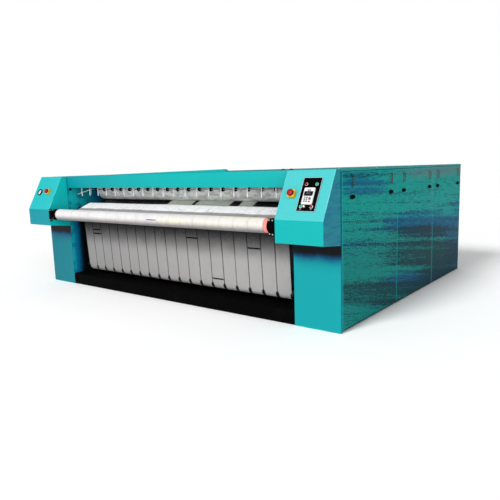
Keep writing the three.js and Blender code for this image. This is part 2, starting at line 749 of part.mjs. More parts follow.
// Quarter-turn latch: long grip on a disc outside, stem through the door, cam inside the tray.
function latch(sign, y) {
  const face = doorOuter + CLEARANCE;
  const z = latchHeight;
  const [d0, d1] = span(sign, face, face + LATCH_STAND / 2);
  const disc = rodX(LATCH_RADIUS, d0, d1, y, z, TINY_FACETS);
  const grip = block(
    span(sign, face + 1, face + LATCH_STAND),
    [y - LATCH_GRIP.length / 2, y + LATCH_GRIP.length / 2],
    [z - LATCH_GRIP.height / 2, z + LATCH_GRIP.height / 2],
  );
  const camOuter = doorOuter - 3 * SHEET;
  const [s0, s1] = span(sign, camOuter - SHEET, face + 1);
  const stem = rodX(LATCH_STEM, s0, s1, y, z, TINY_FACETS);
  const cam = block(
    span(sign, camOuter - SHEET, camOuter),
    [y - CAM_WIDTH / 2, y + CAM_WIDTH / 2],
    [z - CAM_WIDTH / 2, z + CAM_LENGTH - CAM_WIDTH / 2],
  );
  return join(disc, grip, stem, cam);
}

for (const { name, sign } of sides) {
  for (let index = 0; index < doorEdges.length - 1; index += 1) {
    const number = index + 1;
    addNode(`${name}_door_${number}`, door(sign, index), DARK_TURQUOISE);
    latchPlaces(index).forEach((y, place) => {
      const letter = place === 0 ? "a" : "b";
      addNode(`${name}_latch_${number}${letter}`, latch(sign, y), BLACK_PAINT);
    });
  }
}

// ---------------------------------------------------------------- heated cylinders and gears

// A hollow steam cylinder with bored journals; the right journal is longer and carries the gear.
function ironingCylinder(index) {
  const face = cylinderFace;
  const leftEnd = -(wallOuter + HOUSING_LENGTH + 30);
  const rightEnd = gearInner + GEAR_HUB_LENGTH + 12;
  const inside = face - END_PLATE;
  const y = cylinderY(index);
  const outside = [
    [0, leftEnd],
    [JOURNAL_RADIUS, leftEnd],
    [JOURNAL_RADIUS, -face],
    [CYLINDER_RADIUS, -face],
    [CYLINDER_RADIUS, face],
    [JOURNAL_RADIUS, face],
    [JOURNAL_RADIUS, rightEnd],
    [0, rightEnd],
  ];
  const steamSpace = [
    [0, leftEnd - 1],
    [JOURNAL_BORE, leftEnd - 1],
    [JOURNAL_BORE, -inside],
    [CYLINDER_RADIUS - CYLINDER_SHELL, -inside],
    [CYLINDER_RADIUS - CYLINDER_SHELL, inside],
    [JOURNAL_BORE, inside],
    [JOURNAL_BORE, rightEnd + 1],
    [0, rightEnd + 1],
  ];
  return cut(
    turnedX(outside, y, CYLINDER_HEIGHT, LARGE_FACETS),
    turnedX(steamSpace, y, CYLINDER_HEIGHT, SMALL_FACETS),
  );
}

// Involute spur gear outline about the origin, with the middle of a tooth at the given turn.
function gearOutline(teeth, turn) {
  const pitch = (gearModule * teeth) / 2;
  const base = pitch * Math.cos(PRESSURE_ANGLE);
  const root = pitch - DEDENDUM * gearModule;
  const tip = pitch + ADDENDUM * gearModule;
  const involute = (angle) => Math.tan(angle) - angle;
  const halfTooth = Math.PI / (2 * teeth) - BACKLASH / (2 * pitch);
  const halfAt = (radius) => {
    const angle = Math.acos(Math.min(1, base / Math.max(radius, base)));
    return halfTooth + involute(PRESSURE_ANGLE) - involute(angle);
  };
  const flank = [root, tip];
  const points = [];
  for (let tooth = 0; tooth < teeth; tooth += 1) {
    const middle = turn + (tooth * 2 * Math.PI) / teeth;
    const rising = flank.map((radius) => [radius, middle - halfAt(radius)]);
    const falling = flank.map((radius) => [radius, middle + halfAt(radius)]).reverse();
    for (const [radius, angle] of [...rising, ...falling]) {
      points.push([radius * Math.cos(angle), radius * Math.sin(angle)]);
    }
  }
  return points;
}

function driveGear(index) {
  const y = cylinderY(index);
  const x1 = gearInner + GEAR_FACE;
  const toothed = prismX(gearOutline(GEAR_TEETH, 0), gearInner, x1).translate([
    0,
    y,
    CYLINDER_HEIGHT,
  ]);
  const hubEnd = gearInner + GEAR_HUB_LENGTH;
  const hub = rodX(GEAR_HUB, gearInner + 1, hubEnd, y, CYLINDER_HEIGHT, MEDIUM_FACETS);
  const windowRing = (GEAR_HUB + gearRadius - 2 * gearModule) / 2;
  const windows = Array.from({ length: GEAR_WINDOWS }, (_, number) => {
    const angle = (number * 2 * Math.PI) / GEAR_WINDOWS + Math.PI / 2;
    return rodX(
      GEAR_WINDOW_RADIUS,
      gearInner - 1,
      x1 + 1,
      y + windowRing * Math.cos(angle),
      CYLINDER_HEIGHT + windowRing * Math.sin(angle),
      TINY_FACETS,
    );
  });
  const bore = rodX(
    boreFor(JOURNAL_RADIUS, MEDIUM_FACETS, CLEARANCE),
    gearInner - 1,
    hubEnd + 1,
    y,
    CYLINDER_HEIGHT,
    MEDIUM_FACETS,
  );
  return cut(join(toothed, hub), ...windows, bore);
}

for (let index = 0; index < CYLINDER_COUNT; index += 1) {
  addNode(`ironing_cylinder_${index + 1}`, ironingCylinder(index), STEEL);
  addNode(`drive_gear_${index + 1}`, driveGear(index), DARK_STEEL);
}

// The pinion's teeth stand in the spaces of the first gear's, along the line between the axes.
function motorPinion() {
  const toPinion = Math.atan2(pinionZ - CYLINDER_HEIGHT, pinionY - firstCylinderY);
  const turn =
    toPinion + Math.PI + (toPinion * GEAR_TEETH) / PINION_TEETH + Math.PI / PINION_TEETH;
  const teeth = prismX(
    gearOutline(PINION_TEETH, turn),
    gearInner - 5,
    gearInner + GEAR_FACE + 5,
  ).translate([0, pinionY, pinionZ]);
  const shaft = rodX(
    PINION_SHAFT,
    bayHalf + CLEARANCE,
    trayInner + GEARBOX_WIDTH / 2,
    pinionY,
    pinionZ,
  );
  return join(teeth, shaft);
}
addNode("motor_pinion", motorPinion(), STEEL);

// Worm gearbox on feet, with a finned motor behind it and its fan cover.
function gearMotor() {
  const x0 = trayInner + 5;
  const middle = x0 + GEARBOX_WIDTH / 2;
  const bottom = TIE_HEIGHT + CLEARANCE;
  const half = GEARBOX_DEPTH / 2;
  const centreZ = Math.max(pinionZ, bottom + GEARBOX_HEIGHT / 2 + 10);
  const box = prismX(
    roundedRectangle(pinionY, centreZ, GEARBOX_DEPTH, GEARBOX_HEIGHT, GEARBOX_CORNER),
    x0,
    x0 + GEARBOX_WIDTH,
  );
  const feet = block(
    [x0 - 4, x0 + GEARBOX_WIDTH + 4],
    [pinionY - half - 12, pinionY + half + 12],
    [bottom, bottom + 12],
  );
  const neck = block(
    [x0 + 12, x0 + GEARBOX_WIDTH - 12],
    [pinionY - half + 15, pinionY + half - 15],
    [bottom + 5, centreZ],
  );
  const finned = [];
  for (let fin = 0; fin < MOTOR_FINS; fin += 1) {
    for (const [part, radius] of [
      [-0.3, MOTOR_RADIUS],
      [-0.2, MOTOR_RADIUS + MOTOR_FIN],
      [0.2, MOTOR_RADIUS + MOTOR_FIN],
      [0.3, MOTOR_RADIUS],
    ]) {
      const angle = ((fin + part) * 2 * Math.PI) / MOTOR_FINS;
      finned.push([radius * Math.cos(angle), radius * Math.sin(angle)]);
    }
  }
  const motorY = pinionY + half - 1;
  const lyingAlongY = (solid) => solid.rotate([-90, 0, 0]).translate([middle, motorY, centreZ]);
  const motor = lyingAlongY(prismZ(finned, 0, MOTOR_LENGTH));
  const fanRadius = MOTOR_RADIUS + MOTOR_FIN + 4;
  const fanCover = lyingAlongY(
    rodZ(fanRadius, MOTOR_LENGTH - 1, MOTOR_LENGTH + FAN_COVER_LENGTH, 0, 0, MEDIUM_FACETS),
  );
  const bore = rodX(
    boreFor(PINION_SHAFT),
    x0 - 1,
    trayInner + GEARBOX_WIDTH / 2 + 5,
    pinionY,
    pinionZ,
  );
  return cut(join(box, feet, neck, motor, fanCover), bore);
}
addNode("gear_motor", gearMotor(), GREY_PAINT);

// ---------------------------------------------------------------- rollers

// A roller with a shaft at each end.
function roller({ y, z, radius }, face, shaftEnd, shaft = ROLLER_SHAFT) {
  const profile = [
    [0, -shaftEnd],
    [shaft, -shaftEnd],
    [shaft, -face],
    [radius, -face],
    [radius, face],
    [shaft, face],
    [shaft, shaftEnd],
    [0, shaftEnd],
  ];
  return turnedX(profile, y, z, MEDIUM_FACETS);
}

const rollerFace = beltSpan / 2 + ROLLER_OVERHANG;
const wallShaftEnd = wallOuter + BOSS_LENGTH / 2;
addNode(
  "front_feed_roller",
  roller(frontRoller, beltSpan / 2 + END_RING, bayHalf - 2 * CLEARANCE),
  PINK_RUBBER,
);
addNode("crest_roller", roller(crestRoller, rollerFace, wallShaftEnd), COTTON);
addNode("return_roller", roller(returnRoller, rollerFace, wallShaftEnd), STEEL);
addNode("tension_roller", roller(tensionRoller, rollerFace, wallShaftEnd), STEEL);
addNode("idler_roller", roller(idlerRoller, rollerFace, wallShaftEnd), STEEL);
addNode(
  "press_roller",
  roller(pressRoller, bayHalf - PRESS_END_ROOM, wallShaftEnd),
  COTTON,
);

// ---------------------------------------------------------------- feed belts on their bed

// Stations of the belts' middle line in running order; turn is 1 to the left, -1 to the right.
const tableFoot = {
  y: TABLE_FOOT.y,
  z: CYLINDER_HEIGHT + TABLE_FOOT.rise + FOOT_BEND,
  radius: FOOT_BEND - beltMiddle,
};
const firstCylinder = { y: firstCylinderY, z: CYLINDER_HEIGHT, radius: CYLINDER_RADIUS };
const beltRoute = [
  { ...frontRoller, turn: -1, step: FINE_BEND },
  { ...tableFoot, turn: 1, step: FINE_BEND },
  { ...crestRoller, turn: -1, step: FINE_BEND },
  { ...firstCylinder, turn: 1, step: FINE_BEND },
  { ...returnRoller, turn: -1, step: COARSE_BEND },
  { ...tensionRoller, turn: -1, step: COARSE_BEND },
  { ...idlerRoller, turn: 1, step: COARSE_BEND },
].map((station) => ({ ...station, radius: station.radius + beltMiddle }));

// Direction of the straight run that leaves one station and joins the next without a kink.
function runDirection(from, to) {
  const dy = to.y - from.y;
  const dz = to.z - from.z;
  const offset = to.turn * to.radius - from.turn * from.radius;
  return Math.atan2(dz, dy) - Math.asin(offset / Math.hypot(dy, dz));
}

// A point of the line at a station, for a direction of travel; side 1 is left of the middle line.
function routePoint({ y, z, radius, turn }, direction, side, stretch = 1) {
  const reach = (turn * radius - (side * BELT_THICKNESS) / 2) * stretch;
  return [y + reach * Math.sin(direction), z - reach * Math.cos(direction)];
}

// Corners of one face of the belts, each bend drawn round the outside of its roller.
function beltLine(side) {
  const count = beltRoute.length;
  return beltRoute.flatMap((station, index) => {
    const before = beltRoute[(index + count - 1) % count];
    const after = beltRoute[(index + 1) % count];
    const arriving = runDirection(before, station);
    const full = 2 * Math.PI;
    const swing = station.turn * (runDirection(station, after) - arriving);
    const bend = ((swing % full) + full) % full;
    const steps = Math.ceil(bend / station.step);
    return Array.from({ length: steps }, (_, step) => {
      const direction = arriving + (station.turn * bend * (step + 0.5)) / steps;
      return routePoint(station, direction, side, 1 / Math.cos(bend / steps / 2));
    });
  });
}

// Sloping bed under the belts, on a cross tube that is held between the roller arms.
function slideBed() {
  const [, foot, crest] = beltRoute;
  const slope = runDirection(foot, crest);
  const along = ([y, z], distance, depth) => [
    y + distance * Math.cos(slope) + depth * Math.sin(slope),
    z + distance * Math.sin(slope) - depth * Math.cos(slope),
  ];
  const start = routePoint(foot, slope, -1);
  const crestEnd = routePoint(crest, slope, -1);
  const length = Math.hypot(crestEnd[0] - start[0], crestEnd[1] - start[1]);
  const underside = CREST_ROLLER.radius + CLEARANCE - BED_SHEET;
  const end = length - Math.sqrt(CREST_ROLLER.radius ** 2 - underside ** 2) - 4;
  const sink = -0.6;
  const plate = [
    along(start, 0, sink),
    along(start, end, sink),
    along(start, end, BED_SHEET),
    along(start, BED_SHEET, BED_SHEET),
    along(start, BED_SHEET, BED_LIP),
    along(start, 0, BED_LIP),
  ];
  const tube = [
    along(start, end / 3, BED_SHEET - 1),
    along(start, end / 3 + BED_TUBE, BED_SHEET - 1),
    along(start, end / 3 + BED_TUBE, BED_SHEET + BED_TUBE),
    along(start, end / 3, BED_SHEET + BED_TUBE),
  ];
  const half = beltSpan / 2 + BED_OVERHANG;
  const tubeHalf = bayHalf - ARM_THICKNESS - 2 * CLEARANCE;
  return join(prismX(plate, -half, half), prismX(tube, -tubeHalf, tubeHalf));
}

function feedBeltSet() {
  const left = beltLine(1);
  const right = beltLine(-1).reverse();
  const belts = Array.from({ length: BELT_COUNT }, (_, index) => {
    const middle = beltX(index);
    return prismX(left, middle - beltWidth / 2, middle + beltWidth / 2, [right]);
  });
  return join(slideBed(), ...belts);
}
addNode("feed_belt_set", feedBeltSet(), COTTON);

// ---------------------------------------------------------------- guide wheels and finger guard

function guideWheelShaft() {
  const half = bayHalf - CLEARANCE;
  const shaft = rodX(GUIDE_SHAFT, -half, half, guideWheelY, guideWheelZ, 6);
  const wheels = Array.from({ length: BELT_COUNT }, (_, index) => {
    const middle = beltX(index) + GUIDE_WHEEL_SHIFT;
    const reach = GUIDE_WHEEL_WIDTH / 2;
    const [x0, x1] = [middle - reach, middle + reach];
    return rodX(GUIDE_WHEEL_RADIUS, x0, x1, guideWheelY, guideWheelZ, 6);
  });
  return join(shaft, ...wheels);
}
addNode("guide_wheel_shaft", guideWheelShaft(), BLACK_PAINT);

// White fingers hang from a pivot bar behind the lintel, one over each belt.
function fingerGuard() {
  const bar = rodX(GUARD_BAR, -wallShaftEnd, wallShaftEnd, GUARD_Y, guardPivotZ);
  const fingers = Array.from({ length: BELT_COUNT }, (_, index) => {
    const middle = beltX(index) + GUARD_FINGER_SHIFT;
    return block(
      [middle - GUARD_FINGER_WIDTH / 2, middle + GUARD_FINGER_WIDTH / 2],
      [GUARD_Y - GUARD_FINGER_SHEET / 2, GUARD_Y + GUARD_FINGER_SHEET / 2],
      [guardPivotZ - GUARD_FINGER_LENGTH, guardPivotZ],
    );
  });
  return join(bar, ...fingers);
}
addNode("finger_guard", fingerGuard(), WHITE_PLASTIC);

// ---------------------------------------------------------------- controls on the slopes

const slope = new THREE.Group();
slope.position.set(0, -CONSOLE_REACH, lipTop);
slope.rotation.x = Math.atan2(CONSOLE_SLOPE_DROP, slopeRun);
machine.add(slope);

const panelFace = CLEARANCE + PANEL.sheet;
const lampX = [panelX - LAMP.reach, panelX + LAMP.reach];
const lampUp = PANEL.up + LAMP.rise;
const buttonX = [panelX - BUTTON.reach, panelX + BUTTON.reach];
const unitUp = PANEL.up - INVERTER.drop;

// Panel plate with a window for the speed unit and a collar round each lamp and button.
function controlPanelPlate() {
  const { up, width, height, corner } = PANEL;
  const plate = prismZ(roundedRectangle(panelX, up, width, height, corner), CLEARANCE, panelFace);
  const rounds = [
    ...lampX.map((place) => [place, lampUp, LAMP.radius]),
    ...buttonX.map((place) => [place, buttonUp, BUTTON.radius]),
  ];
  const collars = rounds.map(([place, level, radius]) =>
    rodZ(radius + COLLAR.wall, CLEARANCE, panelFace + COLLAR.stand, place, level),
  );
  const holes = rounds.map(([place, level, radius]) =>
    rodZ(sleeveFor(radius), -10, panelFace + COLLAR.stand + 1, place, level),
  );
  const knobHole = rodZ(boreFor(KNOB.radius / 2), -10, panelFace + 1, knobX, buttonUp);
  const window = prismZ(
    roundedRectangle(
      panelX,
      unitUp,
      INVERTER.width - 8 + 2 * CLEARANCE,
      INVERTER.height - 8 + 2 * CLEARANCE,
      INVERTER.corner / 2,
    ),
    -10,
    panelFace + 1,
  );
  return cut(join(plate, ...collars), ...holes, knobHole, window);
}
addNode("control_panel_plate", controlPanelPlate(), BLACK_PAINT, slope);

// Speed unit: a moulded face on the plate, its body behind, a screen and a keypad sunk in the face.
function inverterUnit() {
  const { width, height, stand, depth, corner } = INVERTER;
  const seat = panelFace + CLEARANCE;
  const face = prismZ(roundedRectangle(panelX, unitUp, width, height, corner), seat, seat + stand - 3);
  const crown = prismZ(
    roundedRectangle(panelX, unitUp, width - 6, height - 6, corner),
    seat + stand - 4,
    seat + stand,
  );
  const body = prismZ(
    roundedRectangle(panelX, unitUp, width - 8, height - 8, corner / 2),
    seat - depth,
    seat + 1,
  );
  const sunk = ({ up: level, width: w, height: h, recess }) =>
    prismZ(
      roundedRectangle(panelX, unitUp + level, w, h, 3),
      seat + stand - recess,
      seat + stand + 1,
    );
  return cut(join(face, crown, body), sunk(SCREEN), sunk(KEYPAD));
}
addNode("inverter_unit", inverterUnit(), WHITE_PLASTIC, slope);

// Pilot lamp: a domed lens on a stem in its collar.
function lamp(x) {
  const { radius, height } = LAMP;
  const top = panelFace + COLLAR.stand + height;
  const profile = [
    [0, -14],
    [radius, -14],
    [radius, top - height / 2],
    [radius * 0.75, top - height / 6],
    [0, top],
  ];
  return turnedZ(profile, x, lampUp, SMALL_FACETS);
}
addNode("lamp_red", lamp(lampX[0]), RED_PLASTIC, slope);
addNode("lamp_green", lamp(lampX[1]), GREEN_PLASTIC, slope);

// Push button: a flat cap with a rounded edge, on a stem that slides in its collar.
function pushButton(x) {
  const { radius, stand } = BUTTON;
  const top = panelFace + COLLAR.stand + stand;
  const profile = [
    [0, -12],
    [radius, -12],
    [radius, top - 2],
    [radius - 2, top],
    [0, top],
  ];
  return turnedZ(profile, x, buttonUp, SMALL_FACETS);
}
addNode("start_button", pushButton(buttonX[0]), GREEN_PLASTIC, slope);
addNode("stop_button", pushButton(buttonX[1]), RED_PLASTIC, slope);

// Speed knob: fluted, with a pointer ridge.
function speedKnob() {
  const { radius, height, flutes } = KNOB;
  const [x, up] = [knobX, buttonUp];
  const seat = panelFace + CLEARANCE;
  const outline = Array.from({ length: 2 * flutes }, (_, point) => {
    const angle = (point * Math.PI) / flutes;
    const reach = point % 2 === 0 ? radius : radius * 0.88;
    return [x + reach * Math.cos(angle), up + reach * Math.sin(angle)];
  });
  const grip = prismZ(outline, seat, seat + height);
  const pointer = block([x - 1, x + 1], [up, up + radius * 0.85], [seat, seat + height + 1]);
  const stem = rodZ(radius / 2, -10, seat + 1, x, up);
  return join(grip, pointer, stem);
}
addNode("speed_knob", speedKnob(), WHITE_PLASTIC, slope);

// Emergency stop: a box on the slope and a mushroom head whose stem passes through it.
function estopBase({ x, up }) {
  const { side, height, corner } = ESTOP_BOX;
  const box = prismZ(
    roundedRectangle(x, up, side, side, corner),
    CLEARANCE,
    CLEARANCE + height,
  );
  const collar = rodZ(
    ESTOP_HEAD.stem + 5,
    CLEARANCE + height - 1,
    CLEARANCE + height + 2,
    x,
    up,
    MEDIUM_FACETS,
  );
  const bore = rodZ(boreFor(ESTOP_HEAD.stem), -1, CLEARANCE + height + 5, x, up);
  return cut(join(box, collar), bore);
}

function estopHead({ x, up }) {
  const { radius, height, stem, gap } = ESTOP_HEAD;
  const under = CLEARANCE + ESTOP_BOX.height + 2 + gap;
  const profile = [
    [0, 2],
    [stem, 2],
    [stem, under],
    [radius, under + 2],
    [radius, under + height / 2],
    [radius * 0.82, under + height * 0.85],
    [0, under + height],
  ];
  return turnedZ(profile, x, up, MEDIUM_FACETS);
}

for (const [side, place] of [
  ["right", estopRight],
  ["left", estopLeft],
]) {
  addNode(`estop_base_${side}`, estopBase(place), YELLOW_PLASTIC, slope);
  addNode(`estop_head_${side}`, estopHead(place), RED_PLASTIC, slope);
}

// Steam pressure gauge: a dished case with a rim, and a needle on a pin in its middle.
function gaugeCase() {
  const { up, radius, rim, stand, body, depth } = GAUGE;
  const dish = stand / 2;
  const profile = [
    [NEEDLE.pin + 2 * CLEARANCE, -depth / 2],
    [NEEDLE.pin + 2 * CLEARANCE, -depth],
    [body, -depth],
    [body, CLEARANCE],
    [radius, CLEARANCE],
    [radius, stand - 2],
    [radius - rim / 2, stand],
    [radius - rim, stand],
    [radius - rim, dish],
    [NEEDLE.pin + 2 * CLEARANCE, dish],
    [NEEDLE.pin + 2 * CLEARANCE, -depth / 2],
  ];
  return turnedZ(profile, gaugeX, up, MEDIUM_FACETS);
}

function gaugeNeedle() {
  const { up, stand } = GAUGE;
  const x = gaugeX;
  const { length, tail, width, sheet, pin } = NEEDLE;
  const level = stand / 2 + 2 * CLEARANCE + 1;
  const pointer = prismZ(
    [
      [x - width / 2, up - tail],
      [x + width / 2, up - tail],
      [x + width / 6, up + length],
      [x - width / 6, up + length],
    ],
    level,
    level + sheet,
  );
  const hub = rodZ(pin * 1.8, stand / 2 + CLEARANCE, level + sheet + 1, x, up, TINY_FACETS);
  const stem = rodZ(pin, -10, stand / 2 + 1, x, up, TINY_FACETS);
  return join(pointer, hub, stem);
}
addNode("gauge_case", gaugeCase(), BLACK_PAINT, slope);
addNode("gauge_needle", gaugeNeedle(), RED_PLASTIC, slope);

export default machine;
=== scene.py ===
import json
from math import asin, atan2, ceil, cos, hypot, pi, radians, sin

import bmesh
import bpy
from mathutils import Matrix, Vector


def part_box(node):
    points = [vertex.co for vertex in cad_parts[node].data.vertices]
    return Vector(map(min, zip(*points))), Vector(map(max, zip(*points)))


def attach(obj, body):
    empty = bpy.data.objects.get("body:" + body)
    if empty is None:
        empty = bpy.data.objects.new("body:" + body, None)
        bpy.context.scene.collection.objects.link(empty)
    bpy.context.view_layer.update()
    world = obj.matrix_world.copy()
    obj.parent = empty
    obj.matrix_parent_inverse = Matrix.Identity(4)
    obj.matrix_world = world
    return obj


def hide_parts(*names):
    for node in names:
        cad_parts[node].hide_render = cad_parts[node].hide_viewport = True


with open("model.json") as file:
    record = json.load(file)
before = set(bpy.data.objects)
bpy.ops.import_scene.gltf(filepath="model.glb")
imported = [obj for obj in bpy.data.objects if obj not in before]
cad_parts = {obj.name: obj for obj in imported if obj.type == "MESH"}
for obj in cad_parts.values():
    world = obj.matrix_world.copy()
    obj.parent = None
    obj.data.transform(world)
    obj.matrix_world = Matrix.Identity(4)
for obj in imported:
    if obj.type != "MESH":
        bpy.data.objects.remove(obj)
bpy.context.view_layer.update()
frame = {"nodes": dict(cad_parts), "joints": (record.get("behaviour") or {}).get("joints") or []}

# ---------------------------------------------------------------- places, metres

CLEARANCE = 0.0003
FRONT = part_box("kick_panel")[0].y  # front plane of the legs
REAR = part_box("rear_panel")[1].y
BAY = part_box("kick_panel")[1].x + CLEARANCE  # inner walls
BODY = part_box("right_front_cover")[1].x
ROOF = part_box("front_lintel")[1].z
HANDLE_STAND = 0.024
DOOR_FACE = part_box("right_door_1")[1].x - HANDLE_STAND
SHAFT_END = BAY + 0.024  # shafts reach into the side frames
SHAFT_RADIUS = 0.020
ARM_THICKNESS = 0.028  # arms of the front roller, on the inner walls

joints = {joint["name"]: joint for joint in frame["joints"]}

# The slope of both consoles: x, distance up it, height above its sheet
SLOPE_FOOT = Vector((0, FRONT - 0.284, 0.997))
SLOPE_TURN = atan2(0.403, 0.215)
SLOPE = Matrix.Translation(SLOPE_FOOT) @ Matrix.Rotation(SLOPE_TURN, 4, "X")
PANEL_X = BAY + 0.280
PANEL_UP = 0.232
PANEL_WIDTH = 0.182
PANEL_HEIGHT = 0.309
PANEL_FACE = 0.0033
UNIT_UP = PANEL_UP - 0.019
UNIT_FACE = PANEL_FACE + CLEARANCE + 0.014
BUTTON_UP = PANEL_UP - 0.111
BUTTON_SIDE = 0.0505
LAMP_UP = PANEL_UP + 0.090
LAMP_SIDE = 0.0495
ESTOP_RIGHT = (BAY + 0.115, 0.232)
ESTOP_LEFT = (-BAY - 0.148, 0.238)
GAUGE = (-BAY - 0.347, 0.234)

BELT_COUNT = 19
BELT_PITCH = 0.1678
BELT_WIDTH = 0.162
BELT_THICKNESS = 0.004
BELT_MIDDLE = CLEARANCE + BELT_THICKNESS / 2
BELT_SPAN = BELT_COUNT * BELT_PITCH
END_RING = 0.042
TABLE_FOOT = (FRONT + 0.030, 1.018)
# Belt stations in running order: radius, turn (1 to the left, -1 to the right), facet in degrees
STATIONS = {
    "front_feed_roller": (0.065, -1, 7),
    "table_foot": (0.0427, 1, 8),
    "crest_roller": (0.081, -1, 7),
    "cylinder_1": (0.400, 1, 6),
    "return_roller": (0.050, -1, 14),
    "tension_roller": (0.055, -1, 12),
    "idler_roller": (0.042, 1, 14),
}


def belt_x(index):
    return -BELT_SPAN / 2 + (index + 0.5) * BELT_PITCH


def axis_of(body, motion="spin"):
    """Depth and height of the line that a body turns about."""
    _, y, z = joints[f"{body}_{motion}"]["pos_m"]
    return y, z


def wave(x, seed):
    """A slow uneven wave across the machine, from 0 to 1."""
    rise = sin(2.1 * x + seed) + 0.6 * sin(5.3 * x + 2.3 * seed) + 0.4 * sin(11.7 * x + 4.1 * seed)
    return 0.5 + rise / 4


def held(value):
    """The value, kept between 0 and 1."""
    return max(0.0, min(1.0, value))


# ---------------------------------------------------------------- finishes


def srgb(red, green, blue):
    """A colour as it is seen, turned into the renderer's linear values."""
    linear = [(c / 12.92 if c <= 0.04045 else ((c + 0.055) / 1.055) ** 2.4) for c in (red, green, blue)]
    return (*linear, 1.0)


class Field:
    """A value that varies over a surface. Arithmetic on it adds Math nodes."""

    def __init__(self, finish, socket):
        self.finish = finish
        self.socket = socket

    def __add__(self, other):
        return self.finish.math("ADD", self, other)

    def __radd__(self, other):
        return self.finish.math("ADD", other, self)

    def __sub__(self, other):
        return self.finish.math("SUBTRACT", self, other)

    def __rsub__(self, other):
        return self.finish.math("SUBTRACT", other, self)

    def __mul__(self, other):
        return self.finish.math("MULTIPLY", self, other)

    def __rmul__(self, other):
        return self.finish.math("MULTIPLY", other, self)

    def __abs__(self):
        return self.finish.math("ABSOLUTE", self)


class Finish:
    """A material built from nodes on Object coordinates. Plain colours are given as they are seen."""

    def __init__(self, name):
        self.material = bpy.data.materials.new(name)
        self.material.use_nodes = True
        self.tree = self.material.node_tree
        self.tree.nodes.clear()
        self.place = self.node("ShaderNodeTexCoord", {}, {}, "Object")

    def node(self, kind, settings, sockets, output=0):
        """Adds a node and gives its output: the settings first, then the sockets' values or links."""
        node = self.tree.nodes.new(kind)
        for name, value in settings.items():
            setattr(node, name, value)
        for name, value in sockets.items():
            if isinstance(value, Field):
                self.tree.links.new(value.socket, node.inputs[name])
            else:
                node.inputs[name].default_value = value
        return Field(self, node.outputs[output]) if node.outputs else None

    def math(self, operation, *values):
        return self.node("ShaderNodeMath", {"operation": operation}, dict(enumerate(values)))

    def axes(self, letters, source=None):
        source = source or self.place
        return [self.node("ShaderNodeSeparateXYZ", {}, {0: source}, letter) for letter in letters]

    def noise(self, scale, detail=2.0, stretch=(1, 1, 1), source=None):
        ends = {0: source or self.place, 1: stretch}
        place = self.node("ShaderNodeVectorMath", {"operation": "MULTIPLY"}, ends)
        sockets = {"Vector": place, "Scale": scale, "Detail": detail, "Roughness": 0.55}
        return self.node("ShaderNodeTexNoise", {}, sockets)

    def uneven(self, amount, *noise):
        """Noise about nought, of about this amount."""
        return amount * (self.noise(*noise) - 0.5)

    def rise(self, value, start, end):
        """0 below start, 1 above end, and smooth between them."""
        ends = {"Value": value, "From Min": start, "From Max": end}
        return self.node("ShaderNodeMapRange", {"interpolation_type": "SMOOTHSTEP"}, ends)

    def fall(self, value, start, end):
        return 1 - self.rise(value, start, end)

    def mix(self, share, first, second):
        pair = [srgb(*colour) if isinstance(colour, tuple) else colour for colour in (first, second)]
        return self.node("ShaderNodeMix", {"data_type": "RGBA"}, {0: share, 6: pair[0], 7: pair[1]}, 2)

    def coated(self, colour, *coats):
        """A colour with coats laid over it in turn, each a share and a colour."""
        for share, coat in coats:
            colour = self.mix(share, colour, coat)
        return colour

    def surface(self, colour, roughness, height=None, depth=0.0, specular=0.5, metallic=0.0, sheen=0.0):
        """The shader. A height that varies is a bump of this depth."""
        sockets = {
            "Base Color": colour,
            "Roughness": roughness,
            "Metallic": metallic,
            "Specular IOR Level": specular,
            "Sheen Weight": sheen,
        }
        if height:
            sockets["Normal"] = self.node("ShaderNodeBump", {}, {"Height": height, "Distance": depth})
        shader = self.node("ShaderNodeBsdfPrincipled", {}, sockets)
        self.node("ShaderNodeOutputMaterial", {}, {"Surface": shader})
        return self.material


